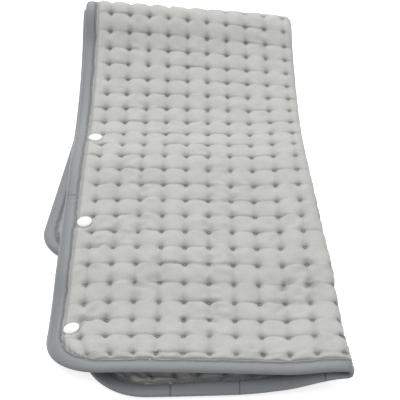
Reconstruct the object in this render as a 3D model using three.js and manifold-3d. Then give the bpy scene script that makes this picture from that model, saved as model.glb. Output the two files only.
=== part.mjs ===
// A quilted heating pad, folded once lengthwise and once crosswise, lying on a table.
// It is modelled as a flat pad of width u and length v, and every point of it is then
// carried to its place in the folded stack. Millimetres, +Z up, free edges to the front.
import * as THREE from 'three';
import Module from 'manifold-3d';
import { mergeVertices } from 'three/addons/utils/BufferGeometryUtils.js';

// Quilting lattice
const pitch = 19.2;
const tuftRows = 44;
const tuftColumns = 20;
const sideMargin = 25;
const endMargin = 18;
const cornerRadius = 46;
const endTaper = 0.3;

// Heights above the pad's middle plane, the same on both sides of it
const crestHeight = 2.8;
const tuftHeight = 1.5;
const foldHeight = 2.1;
const backHeight = 2.5;
const edgeHeight = 1.4;
const coreHeight = 1.1;
const clearance = 0.3;

// Edge binding, a tape folded round the edges of both covers
const bindingWidth = 8.5;
const bindingHalf = 2.3;
const bindingWall = 0.45;
const bindingRoll = 0.6;
const lipGap = 0.8;
const edgeInset = 1;
const cornerSteps = 6;

// Crosswise fold, as radii and lengths of the middle line between the doubled layers
const spineRow = 24;
const upperBendRadius = 15;
const lowerBendRadius = 28;
const bendCells = 3;
const spineEase = 10.5;
const spineShift = 9;
const upperBendSlope = THREE.MathUtils.degToRad(14);
const layerSlip = 3.8;

// Lengthwise fold, as its distance from the snap edge at the front, the back and the hidden end
const foldFront = 222.5;
const foldBack = 206;
const foldEnd = 243;
const foldRun = 300;
const foldSteps = 4;
const foldMargin = 2;

// How the layers lie: the opening at the front, drooping and lifted margins, the leaning loop
const frontOpening = 7;
const openingRun = 130;
const droopDepth = 9;
const marginWidth = 56;
const droopRun = 260;
const innerDroop = 2.2;
const innerDroopStart = 100;
const innerDroopEnd = 430;
const innerDroopEase = 30;
const innerLift = 4.2;
const liftEaseStart = 80;
const liftEaseEnd = 15;
const lowerFlare = 22;
const lowerSlant = 8;
const leanPerHundred = 8.5;
const leanFrom = 36;

// Snaps
const snapCount = 3;
const snapInset = 18.7;
const snapStep = 6;
const studRow = 1.6;
const socketRow = 2.1;
const capRadius = 6.2;
const capRim = 1.2;
const capDome = 1.5;
const postRadius = 1.1;
const studRadius = 5;
const studBase = 0.8;
const knobRadius = 2.6;
const knobLength = 1;
const socketRadius = 4;
const recessHeight = 1.6;
const roundSteps = 12;
const holeSteps = 8;

// Heating wire, its carrier and the fuse
const wireRadius = 0.5;
const wireLift = 0.3;
const wireFirstRun = 1;
const wireLastRun = 20;
const leadInset = 14.5;
const carrierThickness = 0.3;
const fuseLength = 10;
const fuseHalfWidth = 1.5;
const fuseHalfHeight = 0.75;
const fuseAhead = 45;

// Inlet on the inner long edge
const inletFromEnd = 139;
const inletLength = 40;
const inletDepth = 26;
const inletGrip = 9;
const inletHalfHeight = 5.5;
const inletCorner = 5;
const inletSkew = 2;
const socketHalfWidth = 10;
const socketHalfHeight = 3.3;
const blockSetback = 12.3;
const blockDepth = 8;
const contactRadius = 1.2;
const contactSpacing = 6;
const leadSpacing = 6;
const screwOffset = 15.2;
const screwInset = 13;
const screwHeadRadius = 2.3;
const screwHeadHeight = 1.6;
const screwShankRadius = 1.1;
const screwReach = 4;

// Sizes that follow
const padWidth = (tuftColumns - 1) * pitch + 2 * sideMargin;
const padLength = (tuftRows - 1) * pitch + 2 * endMargin;
const layer = 2 * crestHeight;
const layerStep = layer + clearance;
const lowerMiddle = layer + clearance / 2;
const stackMiddle = lowerMiddle + 2 * layerStep;
const betweenHeight = (tuftHeight + crestHeight) / 2;
const lipInset = bindingWidth + lipGap;
const spineLength = pitch + spineEase;
const spineTop = lowerMiddle + lowerBendRadius + spineLength;
const rowAt = (row) => endMargin + row * pitch;
const columnAt = (column) => sideMargin + column * pitch;
const spineMiddle = rowAt(spineRow + 0.5) + spineShift;
const upperTurn = upperBendSlope + Math.PI / 2;
const bendStart = spineMiddle - spineLength / 2 - upperBendRadius * upperTurn;
const bendStartHeight = spineTop + upperBendRadius * Math.cos(upperBendSlope);
const lowerStart = spineMiddle + spineLength / 2 + lowerBendRadius * Math.PI / 2;
const inletAlong = padLength - inletFromEnd;

const { clamp, smoothstep, lerp } = THREE.MathUtils;

// Height of the doubled top half's middle line, by distance from its front edge
const frontMiddle = crestHeight + layerStep / 2 + frontOpening / 2 + clearance;
const heightMarks = [
  [-60, frontMiddle],
  [0, frontMiddle + 0.1],
  [30, frontMiddle - 0.5],
  [62, frontMiddle - 1.4],
  [90, frontMiddle + 1.8],
  [118, stackMiddle - 0.3],
  [150, stackMiddle + 2.6],
  [196, stackMiddle + 7],
  [246, stackMiddle + 14],
  [306, stackMiddle + 13.4],
  [356, stackMiddle + 23],
  [412, stackMiddle + 40.5],
  [bendStart, bendStartHeight],
];

function markSlope(i) {
  if (i === 0) return 0;
  if (i === heightMarks.length - 1) return Math.sin(upperBendSlope);
  const [before, after] = [heightMarks[i - 1], heightMarks[i + 1]];
  return (after[1] - before[1]) / (after[0] - before[0]);
}

function topHeight(s) {
  let i = 0;
  while (i < heightMarks.length - 2 && s > heightMarks[i + 1][0]) i += 1;
  const [from, to] = [heightMarks[i], heightMarks[i + 1]];
  const span = to[0] - from[0];
  const q = (s - from[0]) / span;
  const rise = to[1] - from[1];
  const curl = (markSlope(i) * span - rise) * (1 - q) - (markSlope(i + 1) * span - rise) * q;
  return from[1] + rise * q + q * (1 - q) * curl;
}

// Depth of the top half ahead of its bend, summed in short steps
const depthStep = 0.5;
const depths = [0];
for (let s = bendStart; s > heightMarks[0][0]; s -= depthStep) {
  const rise = topHeight(s) - topHeight(s - depthStep);
  depths.push(depths.at(-1) + Math.sqrt(depthStep ** 2 - rise ** 2));
}

function topDepth(s) {
  const place = clamp((bendStart - s) / depthStep, 0, depths.length - 1.001);
  const i = Math.floor(place);
  return lerp(depths[i], depths[i + 1], place - i);
}

// Middle line of the crosswise fold, with y = 0 at the spine
function middleLine(s) {
  const bendDepth = upperBendRadius * (1 + Math.sin(upperBendSlope));
  if (s < bendStart) {
    const rise = topHeight(s + depthStep) - topHeight(s - depthStep);
    const angle = Math.asin(rise / (2 * depthStep));
    return { y: -bendDepth - topDepth(s), z: topHeight(s), angle };
  }
  if (s < spineMiddle - spineLength / 2) {
    const angle = upperBendSlope - (s - bendStart) / upperBendRadius;
    return {
      y: -upperBendRadius * (1 + Math.sin(angle)),
      z: spineTop + upperBendRadius * Math.cos(angle),
      angle,
    };
  }
  if (s < spineMiddle + spineLength / 2) {
    return { y: 0, z: spineTop - (s - spineMiddle + spineLength / 2), angle: -Math.PI / 2 };
  }
  if (s < lowerStart) {
    const angle = -Math.PI / 2 - (s - spineMiddle - spineLength / 2) / lowerBendRadius;
    return {
      y: -lowerBendRadius * (1 + Math.sin(angle)),
      z: lowerMiddle + lowerBendRadius * (1 + Math.cos(angle)),
      angle,
    };
  }
  return { y: -lowerBendRadius - (s - lowerStart), z: lowerMiddle, angle: -Math.PI };
}

const lowerShare = (v) => clamp((v - lowerStart) / (padLength - lowerStart), 0, 1);

function layerRadius(v) {
  return (layerStep + frontOpening * (1 - smoothstep(v, 0, openingRun))) / 2;
}

function foldMiddle(v) {
  if (v < lowerStart) return lerp(foldFront, foldBack, smoothstep(v, 0, foldRun));
  return lerp(foldBack, foldEnd, lowerShare(v));
}

function foldStation(v, step) {
  const radius = layerRadius(v);
  return foldMiddle(v) + Math.PI * radius * (step / foldSteps - 0.5);
}

// Section across the lengthwise fold: x, height over the middle line, and the face's normal
function crossSection(u, v) {
  const radius = layerRadius(v);
  const left = -lowerFlare * lowerShare(v);
  const start = foldStation(v, 0);
  const end = foldStation(v, foldSteps);
  if (u <= start) return { x: left + u, h: radius, nx: 0, nh: 1, radius };
  if (u >= end) return { x: left + start - (u - end), h: -radius, nx: 0, nh: -1, radius };
  const angle = (u - start) / radius;
  const [nx, nh] = [Math.sin(angle), Math.cos(angle)];
  return { x: left + start + radius * nx, h: radius * nh, nx, nh, radius };
}

function marginDrop(u, v) {
  const outer = clamp((marginWidth - u) / marginWidth, 0, 1);
  const droop = droopDepth * outer ** 2 * (1 - smoothstep(v, 0, droopRun));
  const inner = clamp((u - padWidth + marginWidth) / marginWidth, 0, 1);
  const sinks = smoothstep(v, innerDroopStart, innerDroopStart + innerDroopEase)
    * (1 - smoothstep(v, innerDroopEnd - innerDroopEase, innerDroopEnd));
  const rises = smoothstep(v, lowerStart, lowerStart + liftEaseStart)
    * (1 - smoothstep(v, padLength - liftEaseStart, padLength - liftEaseEnd));
  return (innerLift * rises - innerDroop * sinks) * inner ** 2 - droop;
}

// Carries a point of the flat pad, t over its middle plane, to its place in the folded pad
function place(u, v, t) {
  const across = crossSection(u, v);
  const turn = middleLine(v).angle + Math.PI / 2;
  const line = middleLine(v + layerSlip * turn * across.h / across.radius);
  const height = across.h + t * across.nh;
  const x = across.x + t * across.nx;
  const fromMiddle = (x - foldBack / 2) / 100;
  const y = line.y - height * Math.sin(line.angle) - lowerSlant * fromMiddle * lowerShare(v);
  const z = line.z + height * Math.cos(line.angle) + marginDrop(u, v);
  const lean = leanPerHundred * fromMiddle * Math.max(0, z - leanFrom) / (bendStartHeight - leanFrom);
  return new THREE.Vector3(x, y, z - lean);
}

// Stretches of the pad between the bends, as first and last tuft row
const bendFirstRow = spineRow - bendCells;
const bendLastRow = spineRow + 1 + bendCells;
const zones = {
  upper: { from: null, to: bendFirstRow, step: 1 },
  upper_bend: { from: bendFirstRow, to: spineRow, step: 0.5 },
  spine: { from: spineRow, to: spineRow + 1, step: 0.5 },
  lower_bend: { from: spineRow + 1, to: bendLastRow, step: 0.5 },
  lower: { from: bendLastRow, to: null, step: 1 },
};

const endLines = [edgeInset, lipInset / 2, lipInset];

// Lines across the pad where its facets turn, with a clearance at each end of a zone
function rowLines(zone) {
  const { from, to, step } = zones[zone];
  const lines = [];
  if (from === null) endLines.forEach((v) => lines.push({ v, edge: true }));
  const first = from ?? 0;
  const last = to ?? tuftRows - 1;
  for (let row = first; row <= last; row += step) {
    let v = rowAt(row);
    if (row === from) v += clearance / 2;
    if (row === to) v -= clearance / 2;
    lines.push({ v, edge: false, between: row % 1 !== 0 });
  }
  if (to === null) endLines.toReversed().forEach((v) => lines.push({ v: padLength - v, edge: true }));
  return lines;
}

// A point on the flat facet between two row lines
function laid(u, v, t, lines) {
  let i = 0;
  while (i < lines.length - 2 && v > lines[i + 1].v) i += 1;
  const [from, to] = [lines[i].v, lines[i + 1].v];
  return place(u, from, t).lerp(place(u, to, t), (v - from) / (to - from));
}

// Outline of the pad's snap edge, drawn in by an inset and rounded at the corners
function outlineAt(v, inset) {
  const fromEnd = Math.min(v, padLength - v);
  const radius = cornerRadius - inset;
  const reach = cornerRadius - fromEnd;
  if (reach <= 0) return inset;
  if (reach >= radius) return cornerRadius + endTaper * (reach - radius);
  return cornerRadius - Math.sqrt(radius ** 2 - reach ** 2);
}

const squeezeWidth = columnAt(3);

// Columns near a rounded corner are squeezed inwards to make room for it
function squeezed(u, v) {
  if (u >= squeezeWidth) return u;
  const lip = outlineAt(v, lipInset);
  return lip + (u - lipInset) * (squeezeWidth - lip) / (squeezeWidth - lipInset);
}

// Lines along the pad where its facets turn
const outerEdge = { at: (v) => outlineAt(v, edgeInset), edge: true };
const outerLip = { at: (v) => outlineAt(v, lipInset), edge: true };
const innerEdge = { at: (v) => padWidth - outlineAt(v, edgeInset), edge: true };
const innerLip = { at: (v) => padWidth - outlineAt(v, lipInset), edge: true };
const foldLines = Array.from({ length: foldSteps + 1 }, (_, step) => ({
  at: (v) => foldStation(v, step),
  fold: true,
}));

function columnLine(column) {
  const u = columnAt(column);
  if (u < foldBack) return { at: (v) => Math.min(squeezed(u, v), foldStation(v, 0) - foldMargin) };
  const mirrored = (v) => padWidth - squeezed(padWidth - u, v);
  return { at: (v) => Math.max(mirrored(v), foldStation(v, foldSteps) + foldMargin) };
}

const range = (from, to) => Array.from({ length: to - from + 1 }, (_, i) => from + i);
const lastOuterColumn = Math.floor((foldBack - sideMargin) / pitch);
const firstInnerColumn = lastOuterColumn + 2;
const outerColumns = range(0, lastOuterColumn).map(columnLine);
const innerColumns = range(firstInnerColumn, tuftColumns - 1).map(columnLine);
const outerMarginColumns = outerColumns.slice(0, 2);
const innerMarginColumns = innerColumns.slice(-2);

// The plain sides need no more lines than the drooping margins and the fold bend along
const heatedLines = [outerMarginColumns[1], ...foldLines, innerMarginColumns[0]];

function plainLines(zone) {
  const outer = zone === 'upper' ? [outerMarginColumns[0]] : [];
  const inner = zone === 'upper' || zone === 'lower' ? [innerMarginColumns[1]] : [];
  return [outerEdge, outerLip, ...outer, ...heatedLines, ...inner, innerLip, innerEdge];
}

// The faces that lie on the table are pressed flat, the rest is tufted
function quiltedLines(zone) {
  const tufted = (lines) => lines.map((line) => ({ ...line, tuft: true }));
  const outer = zone === 'lower' ? outerColumns.slice(0, 1) : tufted(outerColumns);
  const inner = zone === 'upper' ? innerMarginColumns.slice(1) : tufted(innerColumns);
  return [outerEdge, outerLip, ...outer, ...foldLines, ...inner, innerLip, innerEdge];
}

function meshFrom(points, triangles) {
  const geometry = new THREE.BufferGeometry().setFromPoints(points);
  const volume = triangles.reduce((sum, [a, b, c]) => {
    return sum + points[a].dot(points[b].clone().cross(points[c]));
  }, 0);
  const outward = volume > 0 ? triangles : triangles.map(([a, b, c]) => [a, c, b]);
  geometry.setIndex(outward.flat());
  return geometry;
}

// One side of a sheet: a grid of row and column lines, each tufted cell crowned by a middle point
function surface(points, triangles, lines, columns, heightAt, crown, turned) {
  const grid = lines.map((line) => columns.map((column) => {
    points.push(place(column.at(line.v), line.v, heightAt(line, column)));
    return points.length - 1;
  }));
  const add = (a, b, c) => triangles.push(turned ? [a, c, b] : [a, b, c]);
  for (let r = 0; r < lines.length - 1; r += 1) {
    for (let c = 0; c < columns.length - 1; c += 1) {
      const [p, q] = [grid[r][c], grid[r][c + 1]];
      const [s, w] = [grid[r + 1][c], grid[r + 1][c + 1]];
      const tufted = columns[c].tuft && columns[c + 1].tuft;
      if (crown && tufted && !lines[r].edge && !lines[r + 1].edge) {
        const v = (lines[r].v + lines[r + 1].v) / 2;
        points.push(place((columns[c].at(v) + columns[c + 1].at(v)) / 2, v, crown));
        const top = points.length - 1;
        [[p, q], [q, w], [w, s], [s, p]].forEach(([a, b]) => add(a, b, top));
      } else {
        add(p, q, w);
        add(p, w, s);
      }
    }
  }
  return grid;
}

// Closes the rim between two runs of points that start and end together
function zip(triangles, points, upper, lower, turned) {
  const add = (a, b, c) => triangles.push(turned ? [a, c, b] : [a, b, c]);
  let [i, j] = [0, 0];
  while (i < upper.length - 1 || j < lower.length - 1) {
    const nextUpper = i < upper.length - 1 ? points[upper[i + 1]].distanceTo(points[lower[j]]) : Infinity;
    const nextLower = j < lower.length - 1 ? points[lower[j + 1]].distanceTo(points[upper[i]]) : Infinity;
    if (nextUpper < nextLower) {
      add(upper[i], lower[j], upper[i + 1]);
      i += 1;
    } else {
      add(upper[i], lower[j], lower[j + 1]);
      j += 1;
    }
  }
}

// A closed sheet between two surfaces over the same rows
function sheet(lines, top, bottom) {
  const points = [];
  const triangles = [];
  const over = surface(points, triangles, lines, top.columns, top.heightAt, top.crown, false);
  const under = surface(points, triangles, lines, bottom.columns, bottom.heightAt, 0, true);
  const side = (grid, end) => grid.map((row) => row.at(end));
  zip(triangles, points, over[0], under[0], false);
  zip(triangles, points, over.at(-1), under.at(-1), true);
  zip(triangles, points, side(over, 0), side(under, 0), true);
  zip(triangles, points, side(over, -1), side(under, -1), false);
  return meshFrom(points, triangles);
}

function faceHeight(line, column) {
  if (line.edge || column.edge) return edgeHeight;
  if (column.tuft) return line.between ? betweenHeight : tuftHeight;
  return column.fold ? foldHeight : crestHeight;
}

function backSkinHeight(line, column) {
  if (line.edge || column.edge) return -edgeHeight;
  return column.fold ? -foldHeight : -backHeight;
}

// The lower face's fold lines stand at the flat face's height on the table side
function faceCover(zone) {
  const columns = quiltedLines(zone);
  const flat = zone === 'lower';
  const heightAt = (line, column) => {
    const onTable = flat && column === foldLines[0] && !line.edge;
    return onTable ? crestHeight : faceHeight(line, column);
  };
  const top = { columns, heightAt, crown: crestHeight };
  return sheet(rowLines(zone), top, { columns: plainLines(zone), heightAt: () => coreHeight });
}

function backCover(zone) {
  const columns = plainLines(zone);
  const top = { columns, heightAt: () => -coreHeight, crown: 0 };
  return sheet(rowLines(zone), top, { columns, heightAt: backSkinHeight });
}

// The felt that carries the wire stays clear of the edges and lies on the back cover
function carrier(zone) {
  const lines = rowLines(zone).filter((line) => !line.edge);
  const columns = heatedLines;
  const underside = -coreHeight + clearance;
  const top = { columns, heightAt: () => underside + carrierThickness, crown: 0 };
  return sheet(lines, top, { columns, heightAt: () => underside });
}

// A point on the flat triangles of a zone's plain sides, where the wire lies between the covers
function onFacet(u, v, t, lines, columns) {
  let i = 0;
  while (i < lines.length - 2 && v > lines[i + 1].v) i += 1;
  const [from, to] = [lines[i].v, lines[i + 1].v];
  const b = (v - from) / (to - from);
  const across = (column) => lerp(column.at(from), column.at(to), b);
  let c = 0;
  while (c < columns.length - 2 && u > across(columns[c + 1])) c += 1;
  const [left, right] = [columns[c], columns[c + 1]];
  const a = (u - across(left)) / (across(right) - across(left));
  const corner = (column, row, share) => place(column.at(row), row, t).multiplyScalar(share);
  const near = corner(left, from, 1 - Math.max(a, b)).add(corner(right, to, Math.min(a, b)));
  if (a > b) return near.add(corner(right, from, a - b));
  return near.add(corner(left, to, b - a));
}

// Points of a path that would stand closer together than this are left out
const shortStep = 2;

// Sweeps a section of [inwards, up] points along a path of [u, v, lean] points on the pad
function sweep(path, section, at) {
  const sides = path.slice(1).map(([u, v], i) => {
    const along = new THREE.Vector2(u - path[i][0], v - path[i][1]).normalize();
    return new THREE.Vector2(-along.y, along.x);
  });
  const points = [];
  path.forEach(([u, v, lean = 0], i) => {
    const before = sides[Math.max(i - 1, 0)];
    const after = sides[Math.min(i, sides.length - 1)];
    const inward = before.clone().add(after).divideScalar(1 + before.dot(after));
    inward.x += lean;
    section.forEach(([d, t]) => points.push(at(u + d * inward.x, v + d * inward.y, t)));
  });
  const count = section.length;
  const triangles = [];
  for (let i = 0; i < path.length - 1; i += 1) {
    for (let k = 0; k < count; k += 1) {
      const next = (k + 1) % count;
      const [a, b] = [i * count + k, i * count + next];
      triangles.push([a, b, b + count], [a, b + count, a + count]);
    }
  }
  const contour = section.map(([d, t]) => new THREE.Vector2(d, t));
  const last = (path.length - 1) * count;
  const inwards = THREE.ShapeUtils.isClockWise(contour);
  THREE.ShapeUtils.triangulateShape(contour, []).forEach((face) => {
    const [a, b, c] = inwards ? face.toReversed() : face;
    triangles.push([c, b, a], [last + a, last + b, last + c]);
  });
  return meshFrom(points, triangles);
}

const tapeSection = [
  [bindingWidth, bindingHalf],
  [bindingRoll, bindingHalf],
  [-bindingRoll, 0],
  [bindingRoll, -bindingHalf],
  [bindingWidth, -bindingHalf],
  [bindingWidth, -bindingHalf + bindingWall],
  [bindingRoll, -bindingHalf + bindingWall],
  [bindingRoll, bindingHalf - bindingWall],
  [bindingWidth, bindingHalf - bindingWall],
];

// Round corner of the outline, from one edge to the next, about its centre
function cornerPath(centreU, centreV, fromAngle) {
  return range(0, cornerSteps).map((i) => {
    const angle = fromAngle + (Math.PI / 2) * (i / cornerSteps);
    return [centreU + cornerRadius * Math.cos(angle), centreV + cornerRadius * Math.sin(angle)];
  });
}

// At an end, each section leans with the fold line that it stands on
function endEdgePath(v) {
  const inwards = v > 0 ? -1 : 1;
  const columns = [...outerMarginColumns, ...foldLines, ...innerMarginColumns];
  const [low, high] = [cornerRadius + shortStep, padWidth - cornerRadius - shortStep];
  return columns
    .map((line) => [line.at(v), v, line.at(v + inwards) - line.at(v)])
    .filter(([u]) => u > low && u < high);
}

const straightRows = (zone) => rowLines(zone)
  .map((line) => line.v)
  .filter((v) => v > cornerRadius + shortStep && v < padLength - cornerRadius - shortStep);

// The tape runs round the front end of the top half in one piece
function upperTapePath() {
  const rows = straightRows('upper');
  return [
    ...rows.toReversed().map((v) => [0, v]),
    ...cornerPath(cornerRadius, cornerRadius, Math.PI),
    ...endEdgePath(0),
    ...cornerPath(padWidth - cornerRadius, cornerRadius, -Math.PI / 2),
    ...rows.map((v) => [padWidth, v]),
  ];
}

// Round the hidden end it stops at the inlet, and goes on behind it
const inletStop = inletLength / 2 + inletSkew + clearance;

function lowerTapePath() {
  const rows = straightRows('lower');
  const start = inletAlong + inletStop;
  return [
    [padWidth, start],
    ...rows.filter((v) => v > start + shortStep).map((v) => [padWidth, v]),
    ...cornerPath(padWidth - cornerRadius, padLength - cornerRadius, 0),
    ...endEdgePath(padLength).toReversed(),
    ...cornerPath(cornerRadius, padLength - cornerRadius, Math.PI / 2),
    ...rows.toReversed().map((v) => [0, v]),
  ];
}

function innerTapePath() {
  const end = inletAlong - inletStop;
  const rows = straightRows('lower').filter((v) => v < end - shortStep);
  return [...rows.map((v) => [padWidth, v]), [padWidth, end]];
}

// Wire route: a meander of runs between the tuft rows, joined by legs along the margins
const legOuter = columnAt(2.5);
const legInner = padWidth - legOuter;
const leadLine = padWidth - leadInset;
const runAt = (run) => rowAt(2 * run + 0.5);

function wireRoute() {
  const route = [[padWidth - edgeInset, inletAlong + leadSpacing / 2]];
  route.push([leadLine, inletAlong + leadSpacing / 2]);
  for (let run = wireLastRun; run >= wireFirstRun; run -= 1) {
    const v = runAt(run);
    const inwards = (wireLastRun - run) % 2 === 0;
    const start = run === wireLastRun ? leadLine : legInner;
    const finish = run === wireFirstRun ? leadLine : legInner;
    if (inwards) route.push([start, v], [legOuter, v]);
    else route.push([legOuter, v], [finish, v]);
  }
  route.push([leadLine, inletAlong - leadSpacing / 2]);
  route.push([padWidth - edgeInset, inletAlong - leadSpacing / 2]);
  return route;
}

// Adds the points where a leg of the route crosses the pad's row and fold lines
function stations(from, to, zone) {
  const along = from[0] === to[0];
  if (along) {
    const [low, high] = [Math.min(from[1], to[1]), Math.max(from[1], to[1])];
    const stops = rowLines(zone).map((line) => line.v);
    const inside = stops.filter((v) => v > low + shortStep && v < high - shortStep);
    return (from[1] < to[1] ? inside : inside.toReversed()).map((v) => [from[0], v]);
  }
  const [low, high] = [Math.min(from[0], to[0]), Math.max(from[0], to[0])];
  const crossings = heatedLines.map((line) => line.at(from[1]));
  const diagonals = [0, foldSteps + 1].map((i) => (crossings[i] + crossings[i + 1]) / 2);
  const stops = [...crossings, ...diagonals].sort((a, b) => a - b);
  const inside = stops.filter((u) => u > low + shortStep && u < high - shortStep);
  return (from[0] < to[0] ? inside : inside.toReversed()).map((u) => [u, from[1]]);
}

// Parts of a route that lie in a zone, each with its points on the pad's facets
function routeIn(zone, route) {
  const lines = rowLines(zone);
  const [low, high] = [lines[0].v, lines.at(-1).v];
  const pieces = [];
  let current = [];
  route.slice(1).forEach((to, i) => {
    const from = route[i];
    const [start, end] = [from, to].map(([u, v]) => [u, clamp(v, low, high)]);
    const outside = (from[1] < low && to[1] < low) || (from[1] > high && to[1] > high);
    if (!outside) {
      if (current.length === 0) current.push(start);
      current.push(...stations(start, end, zone), end);
    }
    const leaves = to[1] < low || to[1] > high;
    if ((outside || leaves) && current.length > 0) {
      pieces.push(current);
      current = [];
    }
  });
  if (current.length > 0) pieces.push(current);
  return pieces;
}

const wireSection = [
  [wireRadius, wireLift],
  [0, wireLift + wireRadius],
  [-wireRadius, wireLift],
  [0, wireLift - wireRadius],
];

// Solids for cuts, from closed geometries
const wasm = await Module();
wasm.setup();

function solid(geometry) {
  const bare = geometry.clone();
  bare.deleteAttribute('normal');
  bare.deleteAttribute('uv');
  const merged = mergeVertices(bare, 1e-4);
  return new wasm.Manifold(new wasm.Mesh({
    numProp: 3,
    vertProperties: new Float32Array(merged.attributes.position.array),
    triVerts: new Uint32Array(merged.index.array),
  }));
}

function cut(geometry, ...tools) {
  const left = tools.reduce((body, tool) => body.subtract(solid(tool)), solid(geometry));
  const { vertProperties, triVerts } = left.getMesh();
  const result = new THREE.BufferGeometry();
  result.setAttribute('position', new THREE.BufferAttribute(new Float32Array(vertProperties), 3));
  result.setIndex(new THREE.BufferAttribute(new Uint32Array(triVerts), 1));
  return result;
}

function box(fromX, toX, halfY, fromZ, toZ) {
  const geometry = new THREE.BoxGeometry(toX - fromX, 2 * halfY, toZ - fromZ);
  return geometry.translate((fromX + toX) / 2, 0, (fromZ + toZ) / 2);
}

function lathe(profile, steps = roundSteps) {
  const points = profile.map(([r, z]) => new THREE.Vector2(r, z));
  return new THREE.LatheGeometry(points, steps).rotateX(Math.PI / 2);
}

// Upright cylinder from one height to another
function post(radius, fromZ, toZ) {
  return lathe([[0, fromZ], [radius, fromZ], [radius, toZ], [0, toZ]]);
}

// Upright hole with few sides that a round piece of the radius still fits in
function hole(radius, fromZ, toZ) {
  const corner = radius / Math.cos(Math.PI / holeSteps);
  return lathe([[0, fromZ], [corner, fromZ], [corner, toZ], [0, toZ]], holeSteps);
}

// A group whose X points off the edge or outwards, Z along the face's normal
function seatAt(u, v) {
  const origin = place(u, v, 0);
  const along = place(u, v + 1, 0).sub(place(u, v - 1, 0)).normalize();
  const outward = place(u - 1, v, 0).sub(origin).negate();
  const up = outward.clone().cross(along).normalize();
  outward.copy(along).cross(up);
  const seat = new THREE.Group();
  seat.position.copy(origin);
  seat.quaternion.setFromRotationMatrix(new THREE.Matrix4().makeBasis(outward, along, up));
  return seat;
}

// Materials
const finish = (color, roughness, metalness = 0) => {
  return new THREE.MeshStandardMaterial({ color, roughness, metalness });
};
const plush = finish(0xc6c6c1, 0.95);
const satin = finish(0x91969a, 0.6);
const felt = finish(0xe8e6de, 0.95);
const wireJacket = finish(0xd8d2c4, 0.5);
const glossWhite = finish(0xf7f7f4, 0.15);
const housing = finish(0x8f9498, 0.5);
const insulator = finish(0x2c2d2f, 0.6);
const contactMetal = finish(0xc9a24a, 0.3, 1);
const screwMetal = finish(0xb9bcc0, 0.3, 1);

const pad = new THREE.Group();

function add(name, geometry, material, parent = pad) {
  const mesh = new THREE.Mesh(geometry, material);
  mesh.name = name;
  parent.add(mesh);
  return mesh;
}

// Snaps: a domed cap with a post through the pad, and a stud or socket ring on the post
const ringHole = postRadius + clearance;
const snapSeat = recessHeight + clearance;
const postEnd = snapSeat + studBase + knobLength - clearance;

function capShape() {
  const dome = range(1, 2).map((i) => {
    const angle = (Math.PI / 2) * (i / 3);
    return [capRadius * Math.cos(angle), snapSeat + capRim + capDome * Math.sin(angle)];
  });
  return lathe([
    [0, -postEnd],
    [postRadius, -postEnd],
    [postRadius, snapSeat],
    [capRadius, snapSeat],
    [capRadius, snapSeat + capRim],
    ...dome,
    [0, snapSeat + capRim + capDome],
  ]);
}

function ringShape(rimRadius) {
  const [seat, base] = [-snapSeat, -snapSeat - studBase];
  return lathe([
    [ringHole, seat],
    [ringHole, base - knobLength],
    [rimRadius, base - knobLength],
    [rimRadius, base],
    [studRadius, base],
    [studRadius, seat],
    [ringHole, seat],
  ]);
}

const snapHoles = { upper: { face: [], back: [] }, lower: { face: [], back: [] } };

function addSnaps(kind, zone, u, places) {
  const rimRadius = kind === 'stud' ? knobRadius : socketRadius;
  places.forEach((v, i) => {
    const seat = seatAt(u, v);
    add(`${kind}_cap_${i + 1}`, capShape(), glossWhite, seat);
    add(`snap_${kind}_${i + 1}`, ringShape(rimRadius), glossWhite, seat);
    pad.add(seat);
    seat.updateMatrixWorld();
    const postHole = hole(ringHole, -layer, layer);
    const capRecess = hole(capRadius + clearance, recessHeight, layer);
    const ringRecess = hole(studRadius + clearance, -layer, -recessHeight);
    [postHole, capRecess, ringRecess].forEach((tool) => tool.applyMatrix4(seat.matrixWorld));
    snapHoles[zone].face.push(postHole, capRecess);
    snapHoles[zone].back.push(postHole, ringRecess);
  });
}

const snapOrder = range(0, snapCount - 1);
addSnaps('stud', 'upper', snapInset, snapOrder.map((i) => rowAt(studRow + i * snapStep)));
const socketPlaces = snapOrder.map((i) => padLength - rowAt(socketRow + i * snapStep));
addSnaps('socket', 'lower', padWidth - snapInset, socketPlaces);

// Covers and carrier, from the front edge to the hidden end
Object.keys(zones).forEach((zone) => {
  const { face, back } = snapHoles[zone] ?? { face: [], back: [] };
  add(`face_cover_${zone}`, cut(faceCover(zone), ...face), plush);
  add(`back_cover_${zone}`, cut(backCover(zone), ...back), plush);
  add(`wire_carrier_${zone}`, carrier(zone), felt);
});

// Edge binding
function tape(name, zone, path) {
  const lines = rowLines(zone);
  add(name, sweep(path, tapeSection, (u, v, t) => laid(u, v, t, lines)), satin);
}

tape('edge_binding_upper', 'upper', upperTapePath());
tape('edge_binding_lower', 'lower', lowerTapePath());
tape('edge_binding_inlet_side', 'lower', innerTapePath());
['upper_bend', 'spine', 'lower_bend'].forEach((zone) => {
  const rows = rowLines(zone).map((line) => line.v);
  tape(`edge_binding_${zone}_outer`, zone, rows.toReversed().map((v) => [0, v]));
  tape(`edge_binding_${zone}_inner`, zone, rows.map((v) => [padWidth, v]));
});

// Heating wire and return lead, with the fuse in the lead's last stretch
const fuseStart = inletAlong - fuseAhead;
const fuseSection = [
  [fuseHalfWidth, fuseHalfHeight],
  [-fuseHalfWidth, fuseHalfHeight],
  [-fuseHalfWidth, -fuseHalfHeight],
  [fuseHalfWidth, -fuseHalfHeight],
];

function inlay(name, zone, path, section, material) {
  const lines = rowLines(zone);
  const columns = plainLines(zone);
  add(name, sweep(path, section, (u, v, t) => onFacet(u, v, t, lines, columns)), material);
}

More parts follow.
